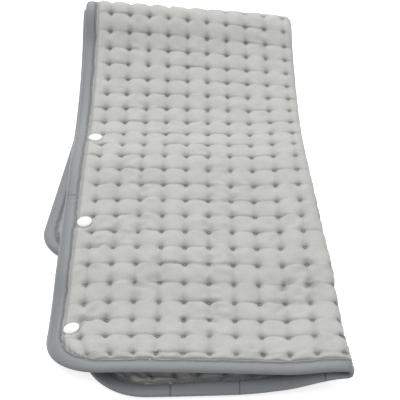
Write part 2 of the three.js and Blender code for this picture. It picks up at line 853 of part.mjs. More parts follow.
Object.keys(zones).forEach((zone) => {
  const [wire, lead] = routeIn(zone, wireRoute());
  inlay(`heating_wire_${zone}`, zone, wire, wireSection, wireJacket);
  if (!lead) return;
  if (zone !== 'lower') {
    inlay(`return_lead_${zone}`, zone, lead, wireSection, wireJacket);
    return;
  }
  const fuseEnd = fuseStart + fuseLength;
  const before = lead.filter(([, v]) => v < fuseStart - shortStep);
  const after = lead.filter(([, v]) => v > fuseEnd + shortStep);
  const toFuse = [...before, [leadLine, fuseStart - clearance]];
  const fromFuse = [[leadLine, fuseEnd + clearance], ...after];
  inlay('return_lead_lower', zone, toFuse, wireSection, wireJacket);
  inlay('return_lead_tail', zone, fromFuse, wireSection, wireJacket);
  inlay('thermal_fuse', zone, [[leadLine, fuseStart], [leadLine, fuseEnd]], fuseSection, insulator);
});

// Inlet: two shells that grip the pad's edge round a block with the contacts
function roundedPlan() {
  const [x0, x1, y] = [-inletGrip, inletDepth, inletLength / 2];
  const plan = new THREE.Shape();
  plan.moveTo(x0, -y);
  plan.lineTo(x1 - inletCorner, -y);
  plan.absarc(x1 - inletCorner, -y + inletCorner, inletCorner, -Math.PI / 2, 0, false);
  plan.absarc(x1 - inletCorner, y - inletCorner, inletCorner, 0, Math.PI / 2, false);
  plan.lineTo(x0, y);
  plan.closePath();
  return plan;
}

const blockFront = inletDepth - blockSetback;
const blockBack = blockFront - blockDepth;
const screwX = inletDepth - screwInset;
const shaftRadius = screwShankRadius + clearance;
const headSeat = inletHalfHeight - screwHeadHeight;
const edgeSlot = bindingHalf - bindingWall;

function shell(upper) {
  const half = inletHalfHeight - clearance / 2;
  const plan = new THREE.ExtrudeGeometry(roundedPlan(), {
    depth: half,
    bevelEnabled: false,
    curveSegments: 3,
  });
  const body = plan.translate(0, 0, upper ? clearance / 2 : -inletHalfHeight);
  const cuts = [
    box(blockBack - clearance, inletDepth + 1, socketHalfWidth, -socketHalfHeight, socketHalfHeight),
    box(-inletGrip - 1, blockBack, inletLength, -edgeSlot, edgeSlot),
  ];
  [-screwOffset, screwOffset].forEach((y) => {
    const bottom = -screwReach - clearance;
    cuts.push(post(shaftRadius, bottom, headSeat).translate(screwX, y, 0));
    const headHole = post(screwHeadRadius + clearance, headSeat - clearance, inletHalfHeight + 1);
    cuts.push(headHole.translate(screwX, y, 0));
  });
  return cut(body, ...cuts);
}

const contactPlaces = [-contactSpacing, 0, contactSpacing];

function contactPin(radius, fromX, toX, y) {
  return post(radius, fromX, toX).rotateY(Math.PI / 2).translate(0, y, 0);
}

function contactBlock() {
  const side = socketHalfWidth - clearance;
  const rise = socketHalfHeight - clearance;
  const block = box(blockBack, blockFront, side, -rise, rise);
  const bores = contactPlaces.map((y) => {
    return contactPin(contactRadius + clearance, blockBack - 1, blockFront + 1, y);
  });
  return cut(block, ...bores);
}

const inlet = seatAt(padWidth, inletAlong);
pad.add(inlet);
add('inlet_upper_shell', shell(true), housing, inlet);
add('inlet_lower_shell', shell(false), housing, inlet);
add('inlet_contact_block', contactBlock(), insulator, inlet);
contactPlaces.forEach((y, i) => {
  add(`inlet_contact_${i + 1}`, contactPin(contactRadius, blockBack, blockFront, y), contactMetal, inlet);
});
[-screwOffset, screwOffset].forEach((y, i) => {
  const screw = lathe([
    [0, -screwReach],
    [screwShankRadius, -screwReach],
    [screwShankRadius, headSeat],
    [screwHeadRadius, headSeat],
    [screwHeadRadius, inletHalfHeight - clearance],
    [0, inletHalfHeight - clearance],
  ]);
  add(`inlet_screw_${i + 1}`, screw.translate(screwX, y, 0), screwMetal, inlet);
});

// The origin is under the middle of the folded pad, on the table
const extent = new THREE.Box3().setFromObject(pad);
const middle = extent.getCenter(new THREE.Vector3());
pad.position.set(-middle.x, -middle.y, -extent.min.z);

// Hinge axes that keep the cloth's length when a bend is opened flat
function hingeOf(centreY, centreZ, radius, turn, bisector) {
  const reach = radius * (turn / 2) / Math.sin(turn / 2);
  const y = centreY + reach * Math.cos(bisector) + pad.position.y;
  const z = centreZ + reach * Math.sin(bisector) + pad.position.z;
  return `y ${y.toFixed(2)} z ${z.toFixed(2)}`;
}

const upperBisector = upperTurn / 2;
console.log('upper fold', hingeOf(-upperBendRadius, spineTop, upperBendRadius, upperTurn, upperBisector));
const lowerCentre = lowerMiddle + lowerBendRadius;
const lowerTurn = Math.PI / 2;
const lowerBisector = -lowerTurn / 2;
console.log('lower fold', hingeOf(-lowerBendRadius, lowerCentre, lowerBendRadius, lowerTurn, lowerBisector));
console.log('flat pad', padWidth.toFixed(1), padLength.toFixed(1));
console.log('shift', pad.position.toArray().map((c) => c.toFixed(3)).join(' '));

export default pad;
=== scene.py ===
"""A quilted heating pad, folded in four on a pale floor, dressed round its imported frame."""

import logging
import math
from dataclasses import dataclass
from enum import Enum
from functools import cache, cached_property
from typing import Callable, Optional, Sequence

import bmesh
import bpy
import numpy as np
from mathutils import Matrix, Vector


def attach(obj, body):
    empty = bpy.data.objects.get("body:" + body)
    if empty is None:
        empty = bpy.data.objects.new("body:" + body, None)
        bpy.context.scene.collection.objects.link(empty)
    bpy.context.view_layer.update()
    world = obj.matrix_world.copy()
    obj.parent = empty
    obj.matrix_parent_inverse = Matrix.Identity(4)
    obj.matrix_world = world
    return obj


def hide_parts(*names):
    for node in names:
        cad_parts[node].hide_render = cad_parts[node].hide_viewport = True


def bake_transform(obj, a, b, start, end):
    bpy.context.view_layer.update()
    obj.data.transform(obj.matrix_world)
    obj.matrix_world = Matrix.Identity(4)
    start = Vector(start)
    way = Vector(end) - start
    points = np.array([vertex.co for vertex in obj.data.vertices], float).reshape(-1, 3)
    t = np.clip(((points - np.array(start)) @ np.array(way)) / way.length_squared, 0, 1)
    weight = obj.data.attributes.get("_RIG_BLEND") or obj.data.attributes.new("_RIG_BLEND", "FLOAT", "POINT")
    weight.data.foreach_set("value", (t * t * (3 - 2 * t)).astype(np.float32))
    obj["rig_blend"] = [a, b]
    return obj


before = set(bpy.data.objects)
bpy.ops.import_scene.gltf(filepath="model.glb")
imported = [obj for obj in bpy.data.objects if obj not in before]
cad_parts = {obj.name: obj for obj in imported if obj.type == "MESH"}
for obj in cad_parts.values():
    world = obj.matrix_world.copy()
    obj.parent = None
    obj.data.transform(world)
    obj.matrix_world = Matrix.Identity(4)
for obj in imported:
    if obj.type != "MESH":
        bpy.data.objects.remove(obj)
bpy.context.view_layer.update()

MM = 0.001
TINY = 1e-9
LOG = logging.getLogger("heating_pad")
Array = np.ndarray
Triple = tuple[float, float, float]
Spots = Sequence[tuple[float, float]]
Adder = Callable[..., bpy.types.Node]
Socket = bpy.types.NodeSocket


class Half(Enum):
    """The two pieces that the pad's cloth is made in, on either side of the crosswise fold."""

    UPPER = "upper"
    LOWER = "lower"


class Side(Enum):
    """The two covers of the pad, with the sign of their height over the middle plane."""

    FACE = 1
    BACK = -1


def smooth(x: Array, low: float, high: float) -> Array:
    """Returns 0 below low, 1 above high, and an even ease between them."""
    q = np.clip((np.asarray(x, float) - low) / (high - low), 0.0, 1.0)
    return q * q * (3.0 - 2.0 * q)


def hump(x: Array, width: float) -> Array:
    """Returns 1 at 0, falling off evenly to both sides over the width."""
    return np.exp(-((x / width) ** 2))


@dataclass
class FoldedPad:
    """The flat pad's sizes, and how each point of it is carried to its place in the folded pad.

    Sizes are in millimetres. u runs from the snap edge to the inlet edge, v from the front end to the
    hidden end, and t is the height over the pad's middle plane.
    """

    pitch: float = 19.2
    rows: int = 44
    columns: int = 20
    side_margin: float = 25.0
    end_margin: float = 18.0
    corner_radius: float = 46.0
    crest: float = 2.8
    edge: float = 1.4
    clearance: float = 0.3
    spine_row: int = 24
    spine_shift: float = 9.0
    cut_row: int = 25
    upper_radius: float = 15.0
    lower_radius: float = 28.0
    upper_slope: float = math.radians(14.0)
    layer_slip: float = 3.8
    slip_spread: float = 170.0
    spine_ease: float = 10.5
    fold_front: float = 222.5
    fold_back: float = 206.0
    fold_end: float = 243.0
    fold_run: float = 300.0
    front_opening: float = 7.0
    opening_run: float = 130.0
    opening_spread: float = 80.0
    pinch_run: float = 45.0
    fold_lift: float = 5.0
    lift_end: float = 380.0
    lift_ease: float = 90.0
    lift_flat: float = 6.0
    lift_width: float = 50.0
    flap_rise: float = 3.6
    flap_width: float = 14.0
    flap_end: float = 90.0
    flap_reach: float = 150.0
    droop_depth: float = 9.0
    margin_width: float = 56.0
    droop_run: float = 260.0
    inner_droop: float = 2.2
    inner_droop_start: float = 100.0
    inner_droop_end: float = 430.0
    inner_droop_ease: float = 30.0
    inner_lift: float = 4.2
    lift_ease_start: float = 80.0
    lift_ease_end: float = 15.0
    lower_flare: float = 22.0
    lower_slant: float = 0.08
    lean: float = 0.085
    lean_from: float = 36.0
    shift: Triple = (-101.152, 232.047, 0.0)
    depth_step: float = 0.5
    cloth_inset: float = 2.2
    corner_columns: int = 3

    @property
    def width(self) -> float:
        """Width of the flat pad."""
        return (self.columns - 1) * self.pitch + 2 * self.side_margin

    @property
    def length(self) -> float:
        """Length of the flat pad."""
        return (self.rows - 1) * self.pitch + 2 * self.end_margin

    @property
    def layer_step(self) -> float:
        """Distance between the middle planes of two layers that lie on each other."""
        return 2 * self.crest + self.clearance

    @property
    def lower_middle(self) -> float:
        """Height of the doubled lower half's middle line."""
        return 2 * self.crest + self.clearance / 2

    @property
    def spine_length(self) -> float:
        """Length of the straight stretch between the two bends."""
        return self.pitch + self.spine_ease

    @property
    def spine_top(self) -> float:
        """Height where the spine meets the upper bend."""
        return self.lower_middle + self.lower_radius + self.spine_length

    @property
    def spine_middle(self) -> float:
        """Distance of the spine's middle from the front end, along the cloth."""
        return self.row_at(self.spine_row + 0.5) + self.spine_shift

    @property
    def bend_start(self) -> float:
        """Distance of the upper bend's start from the front end, along the cloth."""
        turn = self.upper_slope + math.pi / 2
        return self.spine_middle - self.spine_length / 2 - self.upper_radius * turn

    @property
    def bend_height(self) -> float:
        """Height of the middle line at the upper bend's start."""
        return self.spine_top + self.upper_radius * math.cos(self.upper_slope)

    @property
    def lower_start(self) -> float:
        """Distance of the lower bend's end from the front end, along the cloth."""
        return self.spine_middle + self.spine_length / 2 + self.lower_radius * math.pi / 2

    def row_at(self, row: float) -> float:
        """Returns the distance of a tuft row from the front end."""
        return self.end_margin + row * self.pitch

    def column_at(self, column: float) -> float:
        """Returns the distance of a tuft column from the snap edge."""
        return self.side_margin + column * self.pitch

    @cached_property
    def height_marks(self) -> Array:
        """Gives the top half's shape, as read off the photograph.

        Returns:
            Heights of its doubled middle line, each after its distance from the front end.
        """
        front = self.crest + (self.layer_step + self.front_opening) / 2 + self.clearance
        stack = self.lower_middle + 2 * self.layer_step
        return np.array([
            (-60.0, front),
            (0.0, front + 0.1),
            (30.0, front - 0.5),
            (62.0, front - 1.4),
            (90.0, front + 1.8),
            (118.0, stack - 0.3),
            (150.0, stack + 2.6),
            (196.0, stack + 7.0),
            (246.0, stack + 14.0),
            (306.0, stack + 13.4),
            (356.0, stack + 23.0),
            (412.0, stack + 40.5),
            (self.bend_start, self.bend_height),
        ])

    @cached_property
    def mark_slopes(self) -> Array:
        """Works out the slopes of the top half's middle line.

        Returns:
            The slope at each height mark.
        """
        marks = self.height_marks
        slopes = np.zeros(len(marks))
        slopes[-1] = math.sin(self.upper_slope)
        slopes[1:-1] = (marks[2:, 1] - marks[:-2, 1]) / (marks[2:, 0] - marks[:-2, 0])
        return slopes

    def top_height(self, s: Array) -> Array:
        """Runs a smooth curve through the height marks.

        Args:
            s: Distances from the front end, along the cloth.

        Returns:
            Heights of the top half's middle line.
        """
        marks, slopes = self.height_marks, self.mark_slopes
        i = np.clip(np.searchsorted(marks[:, 0], s) - 1, 0, len(marks) - 2)
        span = marks[i + 1, 0] - marks[i, 0]
        rise = marks[i + 1, 1] - marks[i, 1]
        q = (s - marks[i, 0]) / span
        curl = (slopes[i] * span - rise) * (1 - q) - (slopes[i + 1] * span - rise) * q
        return marks[i, 1] + rise * q + q * (1 - q) * curl

    @cached_property
    def depths(self) -> Array:
        """Sums up the top half's depth in short steps along the cloth.

        Returns:
            The depth ahead of the bend after each step.
        """
        s = np.arange(self.bend_start, self.height_marks[0, 0], -self.depth_step)
        rise = self.top_height(s) - self.top_height(s - self.depth_step)
        steps = np.sqrt(self.depth_step ** 2 - rise ** 2)
        return np.concatenate([[0.0], np.cumsum(steps)])

    def middle_line(self, s: Array) -> tuple[Array, Array, Array]:
        """Follows the crosswise fold: top half, upper bend, spine, lower bend, lower half.

        Args:
            s: Distances from the front end, along the cloth.

        Returns:
            y, z and angle of the middle line.
        """
        flat = np.minimum(s, self.bend_start)
        step = self.depth_step
        rise = (self.top_height(flat + step) - self.top_height(flat - step)) / (2 * step)
        along = (self.bend_start - flat) / step
        top_y = -self.upper_radius * (1 + math.sin(self.upper_slope))
        top_y = top_y - np.interp(along, np.arange(len(self.depths)), self.depths)
        spine_start = self.spine_middle - self.spine_length / 2
        spine_end = spine_start + self.spine_length
        upper = self.upper_slope - (s - self.bend_start) / self.upper_radius
        lower = -math.pi / 2 - (s - spine_end) / self.lower_radius
        zone = [s < self.bend_start, s < spine_start, s < spine_end, s < self.lower_start]
        y = np.select(zone, [
            top_y,
            -self.upper_radius * (1 + np.sin(upper)),
            np.zeros_like(s),
            -self.lower_radius * (1 + np.sin(lower)),
        ], -self.lower_radius - (s - self.lower_start))
        z = np.select(zone, [
            self.top_height(flat),
            self.spine_top + self.upper_radius * np.cos(upper),
            self.spine_top - (s - spine_start),
            self.lower_middle + self.lower_radius * (1 + np.cos(lower)),
        ], self.lower_middle)
        angle = np.select(zone, [np.arcsin(np.clip(rise, -1, 1)), upper, -math.pi / 2, lower], -math.pi)
        return y, z, angle

    def lower_share(self, v: Array) -> Array:
        """Returns how far along the lower half each v lies, from 0 to 1."""
        return np.clip((v - self.lower_start) / (self.length - self.lower_start), 0.0, 1.0)

    def opening(self, v: Array) -> Array:
        """Returns how far the two layers of the top half gape at each v."""
        return self.front_opening * (1 - smooth(v, 0, self.opening_run))

    def layer_radius(self, v: Array) -> Array:
        """Returns the radius of the lengthwise fold's middle plane at each v, pinched at the front."""
        return (self.layer_step + self.opening(v) * smooth(v, 0, self.pinch_run)) / 2

    def fold_middle(self, v: Array) -> Array:
        """Follows the lengthwise fold.

        Args:
            v: Distances from the front end.

        Returns:
            Distances of the fold from the snap edge.
        """
        top = self.fold_front + (self.fold_back - self.fold_front) * smooth(v, 0, self.fold_run)
        low = self.fold_back + (self.fold_end - self.fold_back) * self.lower_share(v)
        return np.where(v < self.lower_start, top, low)

    def margin_drop(self, u: Array, v: Array) -> Array:
        """Lets the margins along both long edges droop or lift.

        Args:
            u: Distances from the snap edge.
            v: Distances from the front end.

        Returns:
            Heights over the plain layers.
        """
        outer = np.clip((self.margin_width - u) / self.margin_width, 0, 1)
        droop = self.droop_depth * outer ** 2 * (1 - smooth(v, 0, self.droop_run))
        inner = np.clip((u - self.width + self.margin_width) / self.margin_width, 0, 1)
        start, end, ease = self.inner_droop_start, self.inner_droop_end, self.inner_droop_ease
        sinks = smooth(v, start, start + ease) * (1 - smooth(v, end - ease, end))
        late = self.length - self.lift_ease_start
        rises = smooth(v, self.lower_start, self.lower_start + self.lift_ease_start)
        rises = rises * (1 - smooth(v, late, self.length - self.lift_ease_end))
        return (self.inner_lift * rises - self.inner_droop * sinks) * inner ** 2 - droop

    def place(self, u: Array, v: Array, t: Array) -> Array:
        """Carries points of the flat pad to the folded pad.

        Args:
            u: Distances from the snap edge, in millimetres.
            v: Distances from the front end, in millimetres.
            t: Heights over the middle plane, in millimetres.

        Returns:
            The points in metres, in the frame of the CAD model, along the last axis.
        """
        u, v, t = np.broadcast_arrays(*(np.asarray(a, float) for a in (u, v, t)))
        radius = self.layer_radius(v)
        fold = self.fold_middle(v)
        start = fold - math.pi * radius / 2
        end = start + math.pi * radius
        turn = np.clip((u - start) / radius, 0, math.pi)
        x = -self.lower_flare * self.lower_share(v) + np.minimum(u, start) - np.maximum(u - end, 0)
        x = x + (radius + t) * np.sin(turn)
        # The layers slip past each other in the bends, evenly from one to the other
        side = 2 * smooth((fold - u) / self.slip_spread, -1, 1) - 1
        angle = self.middle_line(v)[2]
        y, z, angle = self.middle_line(v + self.layer_slip * (angle + math.pi / 2) * side)
        height = (radius + t) * np.cos(turn)
        from_middle = x - self.fold_back / 2
        y = y - height * np.sin(angle) - self.lower_slant * from_middle * self.lower_share(v)
        z = z + height * np.cos(angle) + self.margin_drop(u, v)
        # The front end gapes, its lower flap sags less behind the edge, and the fold stands up
        gape = self.opening(v) * (1 - smooth(v, 0, self.pinch_run))
        z = z + gape * (0.5 - smooth(u - end, 0, self.opening_spread))
        flap = smooth(v, 0, self.flap_width) * (1 - smooth(v, self.flap_width, self.flap_end))
        flap = flap * smooth(u - end, 0, self.flap_width)
        z = z + self.flap_rise * flap * (1 - smooth(u - end, self.flap_reach / 2, self.flap_reach))
        lift = self.fold_lift * (1 - smooth(v, self.lift_end - self.lift_ease, self.lift_end))
        z = z + lift * (1 - smooth(np.abs(u - fold), self.lift_flat, self.lift_width))
        rise = np.maximum(0, z - self.lean_from) / (self.bend_height - self.lean_from)
        z = z - self.lean * from_middle * rise
        return (np.stack([x, y, z], axis=-1) + np.array(self.shift)) * MM

    def seat(self, u: float, v: float) -> Matrix:
        """Works out the frame of a fitting on the pad.

        Args:
            u: Its distance from the snap edge.
            v: Its distance from the front end.

        Returns:
            The frame, in millimetres: X across the pad, Y along it, Z off its face.
        """
        origin = Vector(self.place(u, v, 0))
        along = (Vector(self.place(u, v + 1, 0)) - Vector(self.place(u, v - 1, 0))).normalized()
        outward = origin - Vector(self.place(u - 1, v, 0))
        up = outward.cross(along).normalized()
        turn = Matrix((along.cross(up), along, up)).transposed()
        return Matrix.Translation(origin) @ turn.to_4x4() @ Matrix.Scale(MM, 4)

    def squeezed(self, u: Array, v: Array) -> Array:
        """Draws points of the flat rectangle in to the cloth's outline with its rounded corners.

        Args:
            u: Distances from the snap edge.
            v: Distances from the front end.

        Returns:
            The new distances from the snap edge.
        """
        radius = self.corner_radius - self.cloth_inset
        reach = np.clip(self.corner_radius - np.minimum(v, self.length - v), 0, radius)
        edge = self.corner_radius - np.sqrt(radius ** 2 - reach ** 2)
        span = self.column_at(self.corner_columns)
        share = (span - edge) / (span - self.cloth_inset)
        near = edge + (u - self.cloth_inset) * share
        far = self.width - edge - (self.width - u - self.cloth_inset) * share
        return np.where(u < span, near, np.where(u > self.width - span, far, u))

    def edge_distance(self, u: Array, v: Array) -> Array:
        """Measures how far points are from the pad's outline, round its corners too.

        Args:
            u: Distances from the snap edge.
            v: Distances from the front end.

        Returns:
            The distances from the outline.
        """
        across = np.minimum(u, self.width - u)
        along = np.minimum(v, self.length - v)
        r = self.corner_radius
        corner = r - np.hypot(r - np.minimum(across, r), r - np.minimum(along, r))
        return np.where((across < r) & (along < r), corner, np.minimum(across, along))


PAD = FoldedPad()
CUT_LINE = PAD.row_at(PAD.cut_row)
# Where the two bends of the crosswise fold start and end, in metres
UPPER_BEND = ((0.0, 0.2020, 0.0755), (0.0, 0.2330, 0.0560))
LOWER_BEND = ((0.0, 0.2320, 0.0337), (0.0, 0.2041, 0.0057))


def fold_with_pad(piece: bpy.types.Object, half: Half) -> None:
    """Lets a piece of cloth bend with the crosswise fold.

    Args:
        piece: The finished mesh object, with no parent.
        half: The half of the pad that the piece belongs to.
    """
    if half is Half.UPPER:
        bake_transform(piece, "upper_half", "spine", start=UPPER_BEND[0], end=UPPER_BEND[1])
    else:
        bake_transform(piece, "spine", "lower_half", start=LOWER_BEND[0], end=LOWER_BEND[1])


def new_piece(name: str, bm: bmesh.types.BMesh, material: Optional[bpy.types.Material]) -> bpy.types.Object:
    """Makes a smooth-shaded object of a bmesh and frees the bmesh.

    Args:
        name: Name of the piece.
        bm: Its mesh, in place and in metres.
        material: Its finish, if it is to be seen.

    Returns:
        The new object, at the origin.
    """
    mesh = bpy.data.meshes.new(name)
    for face in bm.faces:
        face.smooth = True
    bm.to_mesh(mesh)
    bm.free()
    if material is not None:
        mesh.materials.append(material)
    piece = bpy.data.objects.new(name, mesh)
    bpy.context.scene.collection.objects.link(piece)
    return piece


def laid_grid(bm: bmesh.types.BMesh, points: Array) -> list[bmesh.types.BMVert]:
    """Adds a grid to a bmesh and lays it on an array of points.

    Args:
        bm: The bmesh to add to.
        points: Points of shape (rows, columns, 3).

    Returns:
        The grid's vertices, row by row.
    """
    along, across = points.shape[:2]
    made = bmesh.ops.create_grid(bm, x_segments=across - 1, y_segments=along - 1, size=0.5)
    for vert, point in zip(made["verts"], points.reshape(-1, 3)):
        vert.co = point
    return made["verts"]


def wavy(u: Array, v: Array, length: float, seed: int, waves: int = 14) -> Array:
    """Adds up seeded waves to an even unevenness over the pad.

    Args:
        u: Distances across the pad.
        v: Distances along the pad.
        length: The middle wave length, in millimetres.
        seed: The seed of the waves' directions and phases.
        waves: How many waves are added up.

    Returns:
        The unevenness, about 1 in size.
    """
    rng = np.random.default_rng(seed)
    shortest, longest = 0.7, 1.4
    total = np.zeros(np.broadcast(u, v).shape)
    for _ in range(waves):
        turn = rng.uniform(0, 2 * math.pi)
        size = 2 * math.pi / (length * rng.uniform(shortest, longest))
        across = u * math.cos(turn) + v * math.sin(turn)
        total = total + np.sin(across * size + rng.uniform(0, 2 * math.pi))
    return total / math.sqrt(waves / 2)


@dataclass
class QuiltForm:
    """The swelling of the cloth between its tufts, formed flat by a cloth simulation.

    A patch of the pad, from the snap edge to its middle column, is simulated and then mirrored over the
    whole pad.
    """

    cells: int = 8
    margin_cells: int = 11
    end_cells: int = 8
    patch_rows: int = 13
    patch_cells: int = 76
    spare_across: int = 12
    spare: int = 8
    slack_across: float = 1.05
    slack_along: float = 1.06
    uneven_across: float = 0.8
    uneven_along: float = 1.2
    uneven_length: float = 60.0
    across_seed: int = 3
    along_seed: int = 5
    guess_height: float = 1.2
    guess_ease: float = 20.0
    highest: float = 3.6
    frames: int = 20
    pressure: float = 20.0
    stiffness: float = 30.0
    damping: float = 5.0
    sim_scale: float = 0.01
    grid_cells: int = 9
    crease_along: float = 0.62
    crease_across: float = 0.6

    @property
    def step(self) -> float:
        """Width of a grid cell of the simulated patch."""
        return PAD.pitch / self.cells

    def patch_lines(self) -> tuple[Array, Array]:
        """Lays out the simulated patch, with spare cells round its free sides.

        Returns:
            The grid lines across and along the pad.
        """
        margin = np.linspace(0, PAD.side_margin, self.margin_cells + 1)[:-1]
        inner = PAD.side_margin + np.arange(self.patch_cells + self.spare_across + 1) * self.step
        along = np.arange(-self.spare, self.patch_rows * self.cells + self.spare + 1) * self.step
        return np.concatenate([margin, inner]), along

    def first_guess(self, u: Array, v: Array) -> Array:
        """Puffs the patch up a little, for the simulation to start from.

        Args:
            u: Distances from the snap edge.
            v: Distances from the patch's first tuft row.

        Returns:
            The heights.
        """
        ribs = [np.abs(np.sin(math.pi * a / PAD.pitch)) / 2 for a in (u - PAD.side_margin, v)]
        return self.guess_height * np.minimum(sum(ribs), 1) * np.clip(u / self.guess_ease, 0, 1)

    def simulate(self) -> Array:
        """Runs the cloth simulation on the flat patch.

        Returns:
            The height of each grid point, of shape (rows, columns), in millimetres.
        """
        lines_u, lines_v = self.patch_lines()
        across, along = len(lines_u), len(lines_v)
        grid_u, grid_v = np.meshgrid(lines_u, lines_v)
        start = np.stack([grid_u, grid_v, self.first_guess(grid_u, grid_v)], axis=-1)
        rows = (np.arange(along) - self.spare) % self.cells == 0
        columns = (np.arange(across) - self.margin_cells) % self.cells == 0
        columns[:self.margin_cells] = False
        sewn = rows[:, None] & columns[None, :]
        start[sewn, 2] = 0.0
        sewn[:, 0] = sewn[:, -1] = True
        sewn[0, :] = sewn[-1, :] = True

        bm = bmesh.new()
        laid_grid(bm, start * self.sim_scale)
        patch = new_piece("quilt_patch", bm, None)
        patch.shape_key_add(name="Basis")
        cut = patch.shape_key_add(name="cut_size")
        cut_u = grid_u * self.slack_across
        cut_u = cut_u + self.uneven_across * wavy(grid_u, grid_v, self.uneven_length, self.across_seed)
        cut_v = grid_v * self.slack_along
        cut_v = cut_v + self.uneven_along * wavy(grid_u, grid_v, self.uneven_length, self.along_seed)
        cut_size = np.stack([cut_u, cut_v, np.zeros_like(cut_u)], axis=-1) * self.sim_scale
        cut.data.foreach_set("co", cut_size.ravel())
        held = patch.vertex_groups.new(name="sewn")
        held.add([int(i) for i in np.nonzero(sewn.ravel())[0]], 1.0, "REPLACE")
        self.add_cloth(patch, cut, held.name)

        scene = bpy.context.scene
        for number in range(1, self.frames + 1):
            scene.frame_set(number)
        formed = patch.evaluated_get(bpy.context.evaluated_depsgraph_get()).to_mesh()
        out = np.zeros(start.size)
        formed.vertices.foreach_get("co", out)
        scene.frame_set(1)
        mesh = patch.data
        bpy.data.objects.remove(patch)
        bpy.data.meshes.remove(mesh)
        return out.reshape(start.shape)[..., 2] / self.sim_scale

    def add_cloth(self, piece: bpy.types.Object, cut: bpy.types.ShapeKey, held: str) -> None:
        """Gives the patch its cloth: slack as it was cut, sewn down at the tufts, puffed up from below.

        Args:
            piece: The patch.
            cut: The shape key with the cloth's size as it was cut.
            held: Name of the group of vertices that are sewn down.
        """
        cloth = piece.modifiers.new("cloth", "CLOTH")
        cloth.collision_settings.use_collision = False
        settings = cloth.settings
        settings.effector_weights.gravity = 0
        values = {
            "quality": 6, "mass": 0.02, "shear_stiffness": 8, "bending_stiffness": 0.02,
            "tension_stiffness": self.stiffness, "compression_stiffness": self.stiffness,
            "tension_damping": self.damping, "compression_damping": self.damping,
            "shear_damping": self.damping, "bending_damping": 0.5, "air_damping": 2,
            "vertex_group_mass": held, "use_pressure": True, "use_pressure_volume": False,
            "uniform_pressure_force": self.pressure, "rest_shape_key": cut,
        }
        for key, value in values.items():
            setattr(settings, key, value)

    @cached_property
    def patch(self) -> Array:
        """The formed patch without its spare cells."""
        formed = self.simulate()[self.spare:-self.spare, :-self.spare_across]
        return np.clip(formed, 0.0, self.highest)

    def swelling(self, u: Array, v: Array) -> Array:
        """Looks up the cloth's swelling at points of the flat pad.

        Args:
            u: Distances from the snap edge.
            v: Distances from the front end.

        Returns:
            The heights of the swelling.
        """
        lines_u = self.patch_lines()[0][:-self.spare_across]
        lines_v = np.arange(self.patch_rows * self.cells + 1) * self.step
        patch = self.patch
        folded_u = np.minimum(u, PAD.width - u)
        run = self.patch_rows * PAD.pitch
        folded_v = np.abs((v - PAD.end_margin + run) % (2 * run) - run)
        i = np.clip(np.searchsorted(lines_u, folded_u, side="right") - 1, 0, len(lines_u) - 2)
        j = np.clip(np.searchsorted(lines_v, folded_v, side="right") - 1, 0, len(lines_v) - 2)
        a = (folded_u - lines_u[i]) / (lines_u[i + 1] - lines_u[i])
        b = (folded_v - lines_v[j]) / (lines_v[j + 1] - lines_v[j])
        near = patch[j, i] * (1 - a) + patch[j, i + 1] * a
        far = patch[j + 1, i] * (1 - a) + patch[j + 1, i + 1] * a
        return near * (1 - b) + far * b

    def gathered(self, crease: float) -> Array:
        """Returns the grid lines over a pitch, drawn together at the tufts where creases are sharp."""
        q = np.arange(self.grid_cells) / self.grid_cells
        return PAD.pitch * (q - crease * np.sin(2 * math.pi * q) / (2 * math.pi))

    def across_lines(self) -> Array:
        """Lays out the cloth's grid across the pad.

        Returns:
            The grid lines' distances from the snap edge.
        """
        margin = np.linspace(PAD.cloth_inset, PAD.side_margin, self.margin_cells + 1)
        cell = self.gathered(self.crease_across)
        inner = [PAD.column_at(c) + cell for c in range(PAD.columns - 1)]
        return np.concatenate([margin[:-1], *inner, PAD.width - margin[::-1]])

    def along_lines(self, half: Half) -> Array:
        """Lays out the cloth's grid along a half of the pad, from its free end to the cut line.

        Args:
            half: The half.

        Returns:
            The grid lines' distances from the front end.
        """
        margin = np.linspace(PAD.cloth_inset, PAD.end_margin, self.end_cells + 1)
        cell = self.gathered(self.crease_along)
        count = PAD.cut_row if half is Half.UPPER else PAD.rows - 1 - PAD.cut_row
        inner = [PAD.row_at(r) + cell for r in range(count)]
        lines = np.concatenate([margin[:-1], *inner, [PAD.row_at(count)]])
        return lines if half is Half.UPPER else (PAD.length - lines)[::-1]


QUILT = QuiltForm()


def node_adder(tree: bpy.types.NodeTree) -> Adder:
    """Makes a function that adds nodes to a tree.

    Args:
        tree: The tree.

    Returns:
        The function, which takes the node's type, its inputs and its properties.
    """

    def add(kind: str, inputs: Optional[dict] = None, **settings: object) -> bpy.types.Node:
        """Adds a node.

        Args:
            kind: The node's type.
            inputs: A value, or a socket to link, for each input by name or number.
            **settings: The node's properties.

        Returns:
            The node.
        """
        made = tree.nodes.new(kind)
        for key, value in settings.items():
            setattr(made, key, value)
        for key, value in (inputs or {}).items():
            if isinstance(value, Socket):
                tree.links.new(value, made.inputs[key])
            else:
                made.inputs[key].default_value = value
        return made

    return add


def calculated(add: Adder, operation: str, first: Socket, second: Socket) -> Socket:
    """Returns the outcome of a calculation with two values."""
    return add("ShaderNodeMath", {0: first, 1: second}, operation=operation).outputs["Value"]


# The mix node's sockets for colours
MIX_FIRST = 6
MIX_SECOND = 7
MIX_RESULT = 2


def mixed(add: Adder, share: Socket, first: object, second: object) -> Socket:
    """Returns a colour that goes from the first to the second with the share."""
    inputs = {0: share, MIX_FIRST: first, MIX_SECOND: second}
    return add("ShaderNodeMix", inputs, data_type="RGBA", clamp_factor=True).outputs[MIX_RESULT]


